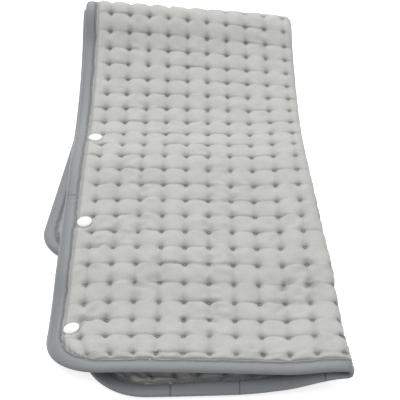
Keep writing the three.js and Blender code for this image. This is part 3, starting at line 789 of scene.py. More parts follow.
def shader_group(name: str, scales: dict[str, float], outputs: Sequence[str]) -> bpy.types.NodeTree:
    """Makes an empty shader node group with its sockets.

    Args:
        name: Name of the group.
        scales: The default of each scale that it takes beside its vector.
        outputs: Names of the values that it puts out.

    Returns:
        The group, with its input and output nodes.
    """
    group = bpy.data.node_groups.new(name, "ShaderNodeTree")
    group.interface.new_socket("Vector", in_out="INPUT", socket_type="NodeSocketVector")
    for key, default in scales.items():
        socket = group.interface.new_socket(key, in_out="INPUT", socket_type="NodeSocketFloat")
        socket.default_value = default
    for key in outputs:
        group.interface.new_socket(key, in_out="OUTPUT", socket_type="NodeSocketFloat")
    group.nodes.new("NodeGroupInput")
    group.nodes.new("NodeGroupOutput")
    return group


@cache
def pile_group() -> bpy.types.NodeTree:
    """Makes the group for brushed fibres, once.

    Returns:
        The group: flecks, patches of laid pile, and a height for the bump.
    """
    scales = {"Fibre Scale": 1400.0, "Patch Scale": 70.0}
    group = shader_group("brushed_pile", scales, ("Fleck", "Patch", "Height"))
    add = node_adder(group)
    source = group.nodes["Group Input"].outputs
    fibre = add("ShaderNodeTexNoise", {
        "Vector": source["Vector"], "Scale": source["Fibre Scale"], "Detail": 3.0, "Roughness": 0.6,
    }).outputs["Fac"]
    tuftlet = add("ShaderNodeTexVoronoi", {"Vector": source["Vector"], "Scale": source["Fibre Scale"]})
    patch = add("ShaderNodeTexNoise", {
        "Vector": source["Vector"], "Scale": source["Patch Scale"], "Detail": 4.0, "Roughness": 0.55,
    }).outputs["Fac"]
    height = calculated(add, "ADD", fibre, tuftlet.outputs["Distance"])
    for key, socket in {"Fleck": fibre, "Patch": patch, "Height": height}.items():
        group.links.new(socket, group.nodes["Group Output"].inputs[key])
    return group


@cache
def rib_group() -> bpy.types.NodeTree:
    """Makes the group for spun thread and woven ribs, once.

    Returns:
        The group: stripes along a UV map, which serve as a height too.
    """
    group = shader_group("spun_ribs", {"Rib Scale": 400.0}, ("Rib",))
    source = group.nodes["Group Input"].outputs
    wave = node_adder(group)("ShaderNodeTexWave", {
        "Vector": source["Vector"], "Scale": source["Rib Scale"], "Distortion": 0.6, "Detail": 1.0,
    }, wave_type="BANDS", bands_direction="X")
    group.links.new(wave.outputs["Fac"], group.nodes["Group Output"].inputs["Rib"])
    return group


@dataclass(frozen=True)
class Finish:
    """A finish: its colours, which are linear, and how it takes light."""

    name: str
    colour: Triple
    shade: Triple
    roughness: float
    scale: float = 500.0
    sheen: float = 0.0
    metallic: float = 0.0
    coat: float = 0.0
    bump: float = 0.2
    bump_mm: float = 0.2
    # How dark the painted shade colour is, as a share of the shade colour
    painted_shade_darkness: float = 0.5

    def pattern(self, add: Adder, place: bpy.types.bpy_prop_collection) -> dict[str, Socket]:
        """Lays out the finish's own pattern; each kind of finish has its own.

        Args:
            add: The function that adds nodes.
            place: The coordinates to lay it out in.

        Returns:
            Sockets for the shader's inputs, and one named Height for its bump.
        """
        raise NotImplementedError

    def with_painted_shade(self, add: Adder, colour: Socket) -> Socket:
        """Returns the colour darkened by painted shade, as far as the mesh's painted shade layer says."""
        painted_shade_colour = (*(c * self.painted_shade_darkness for c in self.shade), 1.0)
        return mixed(add, add("ShaderNodeAttribute", attribute_name="painted_shade").outputs["Fac"], colour, painted_shade_colour)

    def material(self) -> bpy.types.Material:
        """Builds the material round its pattern.

        Returns:
            The material.
        """
        material = bpy.data.materials.new(self.name)
        material.use_nodes = True
        tree = material.node_tree
        shader = tree.nodes["Principled BSDF"].inputs
        shader["Roughness"].default_value = self.roughness
        shader["Metallic"].default_value = self.metallic
        shader["Sheen Weight"].default_value = self.sheen
        shader["Coat Weight"].default_value = self.coat
        add = node_adder(tree)
        sockets = self.pattern(add, add("ShaderNodeTexCoord").outputs)
        sockets["Normal"] = add("ShaderNodeBump", {
            "Strength": self.bump, "Distance": self.bump_mm * MM, "Height": sockets.pop("Height"),
        }).outputs["Normal"]
        for key, socket in sockets.items():
            tree.links.new(socket, shader[key])
        return material


class PileFinish(Finish):
    """Brushed cloth with a short pile, with painted shade where it is sewn down and in its creases."""

    def pattern(self, add: Adder, place: bpy.types.bpy_prop_collection) -> dict[str, Socket]:
        """Lays out flecks of fibre and patches where the pile lies another way.

        Args:
            add: The function that adds nodes.
            place: The coordinates to lay it out in.

        Returns:
            Sockets for the colour and the height.
        """
        fibres = add("ShaderNodeGroup", {"Vector": place["Object"]}, node_tree=pile_group())
        fibres.inputs["Fibre Scale"].default_value = self.scale
        patches, flecks = (
            add("ShaderNodeMapRange", {
                "Value": fibres.outputs[key], "From Min": low, "From Max": 1 - low, "To Max": most,
            }).outputs["Result"]
            for key, low, most in (("Patch", 0.35, 0.4), ("Fleck", 0.3, 0.6))
        )
        share = calculated(add, "ADD", patches, flecks)
        colour = mixed(add, share, (*self.colour, 1.0), (*self.shade, 1.0))
        # Painted shade darkens the tufts, creases and the line along the tape
        return {"Base Color": self.with_painted_shade(add, colour), "Height": fibres.outputs["Height"]}


class WovenFinish(Finish):
    """Smooth ribbed tape or spun thread, with ribs that follow its length."""

    def pattern(self, add: Adder, place: bpy.types.bpy_prop_collection) -> dict[str, Socket]:
        """Lays out the ribs, clouded by wear.

        Args:
            add: The function that adds nodes.
            place: The coordinates to lay it out in.

        Returns:
            Sockets for the colour and the height.
        """
        ribs = add("ShaderNodeGroup", {"Vector": place["UV"]}, node_tree=rib_group())
        ribs.inputs["Rib Scale"].default_value = self.scale
        rib = ribs.outputs["Rib"]
        cloud = add("ShaderNodeTexNoise", {"Vector": place["Object"], "Scale": 160.0, "Detail": 3.0})
        share = calculated(add, "MULTIPLY", rib, cloud.outputs["Fac"])
        colour = mixed(add, share, (*self.colour, 1.0), (*self.shade, 1.0))
        # Painted shade darkens the tape's stitch groove and cross seams
        return {"Base Color": self.with_painted_shade(add, colour), "Height": rib}


class MouldedFinish(Finish):
    """Moulded plastic or metal, with a faint unevenness from the mould or the tool."""

    def pattern(self, add: Adder, place: bpy.types.bpy_prop_collection) -> dict[str, Socket]:
        """Lays out a fine grain.

        Args:
            add: The function that adds nodes.
            place: The coordinates to lay it out in.

        Returns:
            Sockets for the colour, the roughness and the height.
        """
        smoother, rougher = 0.85, 1.2
        grain = add("ShaderNodeTexNoise", {"Vector": place["Object"], "Scale": self.scale, "Detail": 4.0})
        grain = grain.outputs["Fac"]
        spread = add("ShaderNodeMapRange", {
            "Value": grain, "To Min": self.roughness * smoother, "To Max": min(self.roughness * rougher, 1.0),
        })
        colour = mixed(add, grain, (*self.colour, 1.0), (*self.shade, 1.0))
        return {"Base Color": colour, "Roughness": spread.outputs["Result"], "Height": grain}


class Finishes:
    """All the pad's materials, made once."""

    def __init__(self) -> None:
        """Builds each material."""
        self.plush = PileFinish(
            "plush", (0.545, 0.545, 0.522), (0.42, 0.42, 0.404), 0.95, scale=1400.0,
            sheen=0.25, bump=0.35, bump_mm=0.35, painted_shade_darkness=0.3,
        ).material()
        self.satin = WovenFinish(
            "satin_tape", (0.200, 0.214, 0.224), (0.160, 0.172, 0.182), 0.5, scale=260.0,
            sheen=0.2, bump=0.12, bump_mm=0.1,
        ).material()
        self.thread = WovenFinish(
            "sewing_thread", (0.24, 0.25, 0.26), (0.18, 0.19, 0.2), 0.6, scale=300.0,
        ).material()
        self.tack = WovenFinish(
            "tuft_thread", (0.55, 0.55, 0.53), (0.42, 0.42, 0.41), 0.8, scale=300.0,
        ).material()
        self.snap = MouldedFinish(
            "snap_white", (0.90, 0.90, 0.89), (0.86, 0.86, 0.85), 0.16, coat=0.4, bump=0.02, bump_mm=0.05,
        ).material()
        self.inlet = MouldedFinish(
            "inlet_grey", (0.27, 0.29, 0.31), (0.24, 0.26, 0.28), 0.5, scale=900.0, bump=0.25,
        ).material()
        self.insulator = MouldedFinish(
            "insulator_black", (0.025, 0.026, 0.028), (0.018, 0.019, 0.02), 0.45, scale=900.0,
        ).material()
        self.brass = MouldedFinish(
            "contact_brass", (0.60, 0.40, 0.10), (0.52, 0.34, 0.09), 0.25, metallic=1.0, bump=0.05,
        ).material()
        self.steel = MouldedFinish(
            "screw_steel", (0.55, 0.56, 0.57), (0.47, 0.48, 0.49), 0.3, metallic=1.0, bump=0.05,
        ).material()


@dataclass
class QuiltedCloth:
    """The padded cloth: both covers with the wadding between them, sewn through at the tufts."""

    level: float = 2.75
    visible_level: float = 3.7
    shown_start: float = 30.0
    shown_end: float = 4.0
    relief: float = 0.3
    middle_swell: float = 1.5
    dimple: float = 1.7
    dimple_radius: float = 2.0
    funnel: float = 1.0
    funnel_radius: float = 4.8
    valley: float = 1.0
    valley_width: float = 1.4
    valley_spread: float = 0.3
    valley_length: float = 7.5
    pucker: float = 0.42
    pucker_radius: float = 8.0
    pucker_folds: int = 6
    pucker_counts: tuple[int, int] = (3, 5)
    pucker_turns: tuple[float, float] = (2.4, 1.7)
    pucker_beats: tuple[float, float] = (1.9, 2.6)
    pucker_mean: float = 0.7
    pucker_swing: float = 0.6
    crease: float = 0.5
    crease_width: float = 0.85
    crease_mean: float = 0.5
    crease_swing: float = 0.5
    crease_length: float = 34.0
    crease_stretch: float = 1.7
    crease_seed: int = 11
    column_crease: float = 0.5
    column_width: float = 1.5
    column_mean: float = 0.6
    column_seed: int = 51
    wrinkle: float = 0.34
    wrinkle_length: float = 9.5
    wrinkle_squeeze: tuple[float, float] = (0.8, 1.3)
    wrinkle_waves: int = 30
    wrinkle_seed: int = 31
    calm_length: float = 60.0
    calm_range: tuple[float, float] = (-0.8, 1.2)
    calm_seed: int = 41
    front_wrinkle: float = 1.8
    front_start: float = 40.0
    front_end: float = 330.0
    fold_width: float = 12.0
    fold_level: float = 0.75
    fold_press: float = 0.6
    seat_radius: float = 7.6
    seat_steepness: int = 6
    rim_start: float = 10.0
    rim_end: float = 16.5
    seam_line: float = 11.7
    seam_width: float = 1.0
    lowest: float = 0.35
    highest: float = 2.85
    highest_visible: float = 4.6
    # How strongly painted shade darkens the colour in the tufts, their funnels, the creases, the column lines
    # and the line where the cloth meets the tape
    dimple_painted_shade: float = 0.95
    funnel_painted_shade: float = 0.12
    crease_painted_shade: float = 0.4
    column_painted_shade: float = 0.12
    seam_painted_shade: float = 0.9

    def puckers(self, du: Array, dv: Array, column: Array, row: Array) -> Array:
        """Gathers the cloth round each tuft into small folds, which differ from tuft to tuft.

        Args:
            du: Distances across the pad from the nearest tuft.
            dv: Distances along the pad from it.
            column: The tuft's column.
            row: The tuft's row.

        Returns:
            The folds' heights, about 1 in size.
        """
        counts, turns, beats = (
            a * column + b * row for a, b in (self.pucker_counts, self.pucker_turns, self.pucker_beats)
        )
        folds = np.cos((self.pucker_folds + counts % 3) * np.arctan2(dv, du) + turns)
        strength = self.pucker_mean + self.pucker_swing * np.sin(beats)
        return hump(np.hypot(du, dv), self.pucker_radius) * folds * strength

    def wrinkles(self, u: Array, v: Array, side: Side) -> Array:
        """Scatters fine wrinkles in patches, stronger towards the front.

        Args:
            u: Distances from the snap edge.
            v: Distances from the front end.
            side: The cover.

        Returns:
            The wrinkles' heights, about 1 in size.
        """
        back = int(side is Side.BACK)
        squeeze_u, squeeze_v = self.wrinkle_squeeze
        fine = wavy(squeeze_u * u, squeeze_v * v, self.wrinkle_length, self.wrinkle_seed + back,
                    self.wrinkle_waves)
        patches = smooth(wavy(u, v, self.calm_length, self.calm_seed + back), *self.calm_range)
        return fine * patches * (1 + self.front_wrinkle * (1 - smooth(v, self.front_start, self.front_end)))

    def heights(self, u: Array, v: Array, side: Side, seats: Spots) -> tuple[Array, Array]:
        """Works out one cover's surface.

        Args:
            u: Distances from the snap edge, before the corners are drawn in.
            v: Distances from the front end.
            side: The cover.
            seats: Places of the snaps, which press the cloth down.

        Returns:
            The heights off the middle plane, and how much painted shade darkens each point's colour in a
            tuft, crease or column line, or along the tape.
        """
        back = int(side is Side.BACK)
        fold = PAD.fold_middle(v)
        shown = 1 - smooth(u - fold, -self.shown_start, -self.shown_end)
        shown = shown * (v < PAD.spine_middle) * (1 - back)
        column = np.clip(np.rint((u - PAD.side_margin) / PAD.pitch), 0, PAD.columns - 1)
        row = np.clip(np.rint((v - PAD.end_margin) / PAD.pitch), 0, PAD.rows - 1)
        du, dv = u - PAD.column_at(column), v - PAD.row_at(row)
        hollow = hump(np.hypot(du, dv), self.dimple_radius)
        funnel = hump(np.hypot(du, dv), self.funnel_radius)
        spread = self.valley_width + self.valley_spread * np.abs(dv)
        valley = hump(du, spread) * hump(dv, self.valley_length)
        stretch, length = self.crease_stretch, self.crease_length
        uneven = wavy(u, stretch * v, length, self.crease_seed + back)
        line = np.clip(self.crease_mean + self.crease_swing * uneven, 0, 1) * hump(dv, self.crease_width)
        uneven = wavy(stretch * u, v, length, self.column_seed + back)
        upright = np.clip(self.column_mean - self.crease_swing * uneven, 0, 1) * hump(du, self.column_width)

        t = self.level + (self.visible_level - self.level) * shown
        t = t + self.relief * (QUILT.swelling(PAD.width - u if back else u, v) - self.middle_swell)
        t = t + self.pucker * self.puckers(du, dv, column, row) * (1 - hollow)
        t = t + self.wrinkle * self.wrinkles(u, v, side)
        t = t - self.dimple * hollow - self.funnel * funnel - self.valley * valley
        t = t - self.crease * line - self.column_crease * upright
        t = t + (self.fold_level * PAD.crest - t) * self.fold_press * hump(u - fold, self.fold_width)
        inside = PAD.edge_distance(PAD.squeezed(u, v), v)
        rim = smooth(inside, self.rim_start, self.rim_end)
        t = PAD.edge + (t - PAD.edge) * rim
        for seat_u, seat_v in seats:
            away = np.hypot(u - seat_u, v - seat_v) / self.seat_radius
            t = t + (PAD.edge - t) * np.exp(-(away ** self.seat_steepness))
        top = self.highest + (self.highest_visible - self.highest) * shown
        # Painted shade: the cloth's colour is darkened in tufts, funnels, creases and column lines, and along
        # the line where it meets the tape, to stand in for the shade that falls there
        painted_shade = self.dimple_painted_shade * hollow + self.funnel_painted_shade * funnel
        painted_shade = painted_shade + self.crease_painted_shade * line + self.column_painted_shade * upright
        painted_shade = np.clip(painted_shade, 0, 1) * rim + self.seam_painted_shade * hump(inside - self.seam_line, self.seam_width)
        return np.clip(t, self.lowest, top), np.clip(painted_shade, 0, 1)

    def build(self, half: Half, finishes: Finishes, seats: Spots) -> bpy.types.Object:
        """Builds a half of the pad as one closed padded piece.

        Args:
            half: The half to build.
            finishes: The materials.
            seats: Places of the snaps on the pad.

        Returns:
            The piece, folded and bending with the fold.
        """
        u, v = np.meshgrid(QUILT.across_lines(), QUILT.along_lines(half))
        drawn = PAD.squeezed(u, v)
        bm = bmesh.new()
        # This layer holds painted shade: how far the colour is darkened to stand in for shade in the cloth's
        # hollows
        layer = bm.verts.layers.float.new("painted_shade")
        for side in Side:
            t, painted_shade = self.heights(u, v, side, seats)
            verts = laid_grid(bm, PAD.place(drawn, v, side.value * t))
            for vert, value in zip(verts, painted_shade.ravel()):
                vert[layer] = float(value)
        bmesh.ops.bridge_loops(bm, edges=[edge for edge in bm.edges if edge.is_boundary])
        bmesh.ops.recalc_face_normals(bm, faces=bm.faces)
        piece = new_piece(f"quilted_cloth_{half.value}", bm, finishes.plush)
        fold_with_pad(piece, half)
        return piece


def add_threads(bm: bmesh.types.BMesh, firsts: Array, seconds: Array, radius: float) -> None:
    """Fills an empty bmesh with short lengths of thread, rounded at their ends.

    Args:
        bm: The empty bmesh.
        firsts: Where each thread starts, of shape (threads, 3).
        seconds: Where each thread ends.
        radius: The thread's radius, in metres.
    """
    bm.loops.layers.uv.new("tape")
    order = bm.verts.layers.int.new("order")
    made = bmesh.ops.create_uvsphere(bm, u_segments=6, v_segments=4, radius=1.0, calc_uvs=True)
    shape = np.array([vert.co for vert in made["verts"]])
    for number, vert in enumerate(made["verts"]):
        vert[order] = number
    needed = len(firsts) * len(shape)
    while len(bm.verts) < needed:
        doubled = len(bm.verts)
        copies = bmesh.ops.duplicate(bm, geom=bm.verts[:] + bm.edges[:] + bm.faces[:])["geom"]
        for vert in (item for item in copies if isinstance(item, bmesh.types.BMVert)):
            vert[order] += doubled
    bmesh.ops.delete(bm, geom=[vert for vert in bm.verts if vert[order] >= needed], context="VERTS")
    along = seconds - firsts
    length = np.linalg.norm(along, axis=1, keepdims=True)
    along = along / length
    side = np.cross(along, (0.0, 0.0, 1.0))
    side = side / np.maximum(np.linalg.norm(side, axis=1, keepdims=True), TINY)
    up = np.cross(side, along)
    reach = (length / 2 + radius / 2)[:, None] * shape[None, :, 2:]
    spots = (firsts + seconds)[:, None] / 2 + along[:, None] * reach
    spots = spots + radius * (side[:, None] * shape[None, :, :1] + up[:, None] * shape[None, :, 1:2])
    spots = spots.reshape(-1, 3)
    for vert in bm.verts:
        vert.co = spots[vert[order]]
    bm.verts.layers.int.remove(order)


@dataclass
class EdgeBinding:
    """The satin tape round the pad's edge: a padded roll, a row of stitches and a flat lip."""

    step: float = 2.6
    corner_steps: int = 22
    roll_end: float = 8.7
    roll_points: int = 9
    roll_gather: float = 1.3
    roll_squareness: float = 2.6
    shoulder: float = 0.35
    groove: float = 9.6
    groove_half: float = 0.7
    groove_wall: float = 0.6
    groove_height: float = 1.45
    groove_rise: float = 0.3
    # How strongly painted shade darkens the stitch groove
    groove_painted_shade: float = 0.9
    lip_end: float = 11.3
    lip_round: float = 0.7
    lip_height: float = 1.95
    lip_sink: float = 0.1
    lip_ease: float = 2.0
    half_height: float = 2.55
    overhang: float = 0.6
    wall: float = 0.35
    wall_from: float = 0.75
    pucker: float = 0.16
    pucker_length: float = 6.4
    pucker_drift: float = 2.0
    drift_length: float = 60.0
    drift_seed: int = 21
    pucker_mean: float = 0.55
    pucker_swing: float = 0.45
    swing_length: float = 45.0
    swing_seed: int = 22
    body_low: float = 0.4
    body_high: float = 1.6
    slip: float = 0.35
    slip_length: float = 25.0
    slip_seed: int = 23
    fine_slip: float = 0.2
    fine_length: float = 9.0
    fine_seed: int = 24
    slip_start: float = 8.0
    slip_end: float = 10.0
    stitch_length: float = 2.5
    stitch_pitch: float = 3.3
    stitch_radius: float = 0.26
    stitch_rise: float = 0.12
    seams: Spots = ((352.0, 0.0), (303.0, 0.0), (243.0, 0.0), (0.0, 198.0))
    seam_width: float = 0.5
    seam_steps: tuple[float, ...] = (-2, -1, -0.5, 0, 0.5, 1, 2)
    seam_depth: float = 0.3
    inlet_at: float = 722.6
    inlet_half: float = 22.5
    weld: float = 1e-6

    def path(self, half: Half) -> tuple[Array, Array]:
        """Runs round a half's free edges, with the pad on its left.

        Args:
            half: The half.

        Returns:
            The points and their inward directions, as arrays of (u, v).
        """
        cut = CUT_LINE if half is Half.UPPER else PAD.length - CUT_LINE
        r, width = PAD.corner_radius, PAD.width
        seams = self.seams if half is Half.UPPER else ()
        down = np.linspace(cut, r, int((cut - r) / self.step))[:-1]
        down = self.with_seams(down, [v for u, v in seams if u == 0])[::-1]
        turn = np.linspace(0, math.pi / 2, self.corner_steps)
        across = np.linspace(r, width - r, int((width - 2 * r) / self.step))[1:-1]
        across = self.with_seams(across, [u for u, v in seams if v == 0])
        left = np.stack([np.zeros_like(down), down], axis=-1)
        left_in = np.tile([1.0, 0.0], (len(down), 1))
        corner_in = np.stack([np.cos(turn), np.sin(turn)], axis=-1)
        corner = np.array([r, r]) - r * corner_in
        front = np.stack([across, np.zeros_like(across)], axis=-1)
        front_in = np.tile([0.0, 1.0], (len(across), 1))
        mirror = np.array([-1.0, 1.0])
        right, up = ((part * mirror + (width, 0))[::-1] for part in (corner, left))
        right_in, up_in = ((part * mirror)[::-1] for part in (corner_in, left_in))
        points = np.concatenate([left, corner, front, right, up])
        inward = np.concatenate([left_in, corner_in, front_in, right_in, up_in])
        if half is Half.LOWER:
            points = points * (1, -1) + (0, PAD.length)
            inward = inward * (1, -1)
        return points, inward

    def with_seams(self, places: Array, seams: Sequence[float]) -> Array:
        """Returns places along an edge in rising order, with close steps added at its seams."""
        close = [seam + self.seam_width * k for seam in seams for k in self.seam_steps]
        return np.unique(np.concatenate([places, close]))

    def seam_share(self, points: Array) -> Array:
        """Returns how near each point of the edge is to a cross seam, from 0 to 1."""
        gap = np.linalg.norm(points[:, None, :] - np.array(self.seams)[None, :, :], axis=-1)
        return hump(gap.min(axis=1), self.seam_width)

    def profile(self) -> tuple[Array, Array]:
        """Draws the tape's outer section, from lip to lip.

        Returns:
            Distances from the edge, and heights.
        """
        roll = np.linspace(0, 1, self.roll_points)[1:]
        lip, groove, rise = self.lip_end, self.groove, self.groove_height
        d = np.concatenate([
            [lip, lip - self.lip_round, groove + self.groove_half, groove, groove - self.groove_wall],
            self.roll_end * (1 - roll ** self.roll_gather) - self.overhang * roll ** 3,
        ])
        bulge = self.half_height * np.sqrt(np.clip(1 - roll ** self.roll_squareness, 0, 1))
        bulge = bulge - (self.half_height - rise - self.shoulder) * (1 - roll) ** 2
        height, sink = self.lip_height, self.lip_sink
        t = np.concatenate([[PAD.edge + sink, height, height - sink, rise, rise + self.groove_rise], bulge])
        t[-1] = 0.0
        return np.concatenate([d, d[-2::-1]]), np.concatenate([t, -t[-2::-1]])

    def inner_profile(self) -> tuple[Array, Array]:
        """Draws the tape's inner section, a wall's thickness inside the outer one.

        Returns:
            Distances from the edge, and heights.
        """
        d, t = self.profile()
        inside = np.clip((self.lip_end - d) / self.lip_end, 0, 1)
        inner = np.sign(t) * np.maximum(np.abs(t) - self.wall, 0.0)
        return d + self.wall * smooth(inside, self.wall_from, 1.0), inner

    def stretches(self, half: Half) -> list[tuple[Array, Array, Array]]:
        """Breaks a half's tape at the inlet.

        Args:
            half: The half.

        Returns:
            The points of each run, their inward ways and the length up to each.
        """
        points, inward = self.path(half)
        run = np.concatenate([[0], np.cumsum(np.linalg.norm(np.diff(points, axis=0), axis=1))])
        near = (points[:, 0] > PAD.width - 1) & (np.abs(points[:, 1] - self.inlet_at) < self.inlet_half)
        stops = np.nonzero(np.diff(near.astype(int)))[0] + 1
        parts = np.split(np.arange(len(points)), stops)
        return [(points[part], inward[part], run[part]) for part in parts if not near[part[0]]]

    def uneven(self, run: Array, length: float, seed: int) -> Array:
        """Returns an unevenness along the tape."""
        return wavy(run, 0 * run, length, seed)

    def add_tape(self, bm: bmesh.types.BMesh, points: Array, inward: Array, run: Array) -> None:
        """Sweeps the tape's section along one run.

        Args:
            bm: The bmesh to add to, with its layers for UV and painted shade.
            points: The run's points on the flat pad.
            inward: The inward way at each point.
            run: The length up to each point.
        """
        outer, inner = self.profile(), self.inner_profile()
        d, t = (np.concatenate([a, b[::-1], a[:1]]) for a, b in zip(outer, inner))
        drift = self.pucker_drift * self.uneven(run, self.drift_length, self.drift_seed)
        ripple = np.sin(run * 2 * math.pi / self.pucker_length + drift)
        swing = self.pucker_swing * self.uneven(run, self.swing_length, self.swing_seed)
        ripple = ripple * (self.pucker_mean + swing)
        body = smooth(np.abs(t), self.body_low, self.body_high) * smooth(self.lip_end - d, 0, self.lip_ease)
        sewn = self.seam_share(points)
        puffed = self.pucker * ripple - self.seam_depth * sewn
        height = t[None, :] + np.sign(t)[None, :] * puffed[:, None] * body[None, :]
        slip = self.slip * self.uneven(run, self.slip_length, self.slip_seed)
        slip = slip + self.fine_slip * self.uneven(run, self.fine_length, self.fine_seed)
        reach = d[None, :] + slip[:, None] * smooth(d, self.slip_start, self.slip_end)[None, :]
        u, v = (points[:, None, k] + reach * inward[:, None, k] for k in (0, 1))
        verts = laid_grid(bm, PAD.place(u, v, height))

        layer, uv = bm.verts.layers.float["painted_shade"], bm.loops.layers.uv["tape"]
        girth = np.concatenate([[0], np.cumsum(np.hypot(np.diff(d), np.diff(t)))])
        # Painted shade: the stitch groove and the cross seams are darkened in colour to stand in for the
        # shade that falls in them
        groove_shade = self.groove_painted_shade * hump(d - self.groove, self.groove_half)
        place = {}
        for number, vert in enumerate(verts):
            along, across = divmod(number, len(d))
            vert[layer] = float(max(groove_shade[across], sewn[along]))
            place[vert] = (run[along] * MM, girth[across] * MM)
        for face in {face for vert in verts for face in vert.link_faces}:
            for loop in face.loops:
                loop[uv].uv = place[loop.vert]

    def stitching(self, half: Half, finishes: Finishes) -> bpy.types.Object:
        """Sews the tape down with a row of stitches in its groove, on both sides of the pad.

        Args:
            half: The half.
            finishes: The materials.

        Returns:
            The piece of stitches.
        """
        firsts, seconds = [], []
        for points, inward, run in self.stretches(half):
            middles = np.arange(run[0] + self.stitch_pitch, run[-1] - self.stitch_pitch, self.stitch_pitch)
            line = points + self.groove * inward
            for side in Side:
                for ends, offset in ((firsts, -0.5), (seconds, 0.5)):
                    at = middles + offset * self.stitch_length
                    spot = [np.interp(at, run, line[:, k]) for k in (0, 1)]
                    ends.append(PAD.place(*spot, side.value * (self.groove_height + self.stitch_rise)))
        bm = bmesh.new()
        add_threads(bm, np.concatenate(firsts), np.concatenate(seconds), self.stitch_radius * MM)
        piece = new_piece(f"edge_stitching_{half.value}", bm, finishes.thread)
        fold_with_pad(piece, half)
        return piece

    def build(self, half: Half, finishes: Finishes) -> list[bpy.types.Object]:
        """Builds a half's tape and its two rows of stitches.

        Args:
            half: The half to build.
            finishes: The materials.

        Returns:
            The tape and the stitching.
        """
        bm = bmesh.new()
        bm.loops.layers.uv.new("tape")
        bm.verts.layers.float.new("painted_shade")
        for points, inward, run in self.stretches(half):
            self.add_tape(bm, points, inward, run)
        bmesh.ops.remove_doubles(bm, verts=bm.verts, dist=self.weld)
        bmesh.ops.edgeloop_fill(bm, edges=[edge for edge in bm.edges if edge.is_boundary])
        bmesh.ops.recalc_face_normals(bm, faces=bm.faces)
        tape = new_piece(f"edge_tape_{half.value}", bm, finishes.satin)
        fold_with_pad(tape, half)
        return [tape, self.stitching(half, finishes)]


@dataclass
class TuftTacks:
    """The bar of thread that sews each tuft through the pad."""

    length: float = 1.7
    radius: float = 0.3
    turn_spread: float = 0.35
    turn_seed: int = 4

    def build(self, half: Half, cloth: QuiltedCloth, finishes: Finishes) -> bpy.types.Object:
        """Builds a half's tacks, on both covers, as one piece.

        Args:
            half: The half to build.
            cloth: The cloth that the tacks lie on.
            finishes: The materials.

        Returns:
            The piece of thread.
        """
        rows = range(0, PAD.cut_row) if half is Half.UPPER else range(PAD.cut_row + 1, PAD.rows)
        column, row = np.meshgrid(np.arange(PAD.columns), np.array(rows))
        u, v = PAD.column_at(column).ravel(), PAD.row_at(row).ravel()
        turn = np.random.default_rng(self.turn_seed).normal(0.0, self.turn_spread, len(u))
        half_u, half_v = self.length / 2 * np.cos(turn), self.length / 2 * np.sin(turn)
        firsts, seconds = [], []
        for side in Side:
            height = side.value * (cloth.heights(u, v, side, [])[0] + self.radius / 2)
            for ends, sign in ((firsts, -1), (seconds, 1)):
                end_u, end_v = u + sign * half_u, v + sign * half_v
                ends.append(PAD.place(PAD.squeezed(end_u, end_v), end_v, height))
        bm = bmesh.new()
        add_threads(bm, np.concatenate(firsts), np.concatenate(seconds), self.radius * MM)
        piece = new_piece(f"tuft_threads_{half.value}", bm, finishes.tack)
        fold_with_pad(piece, half)
        return piece


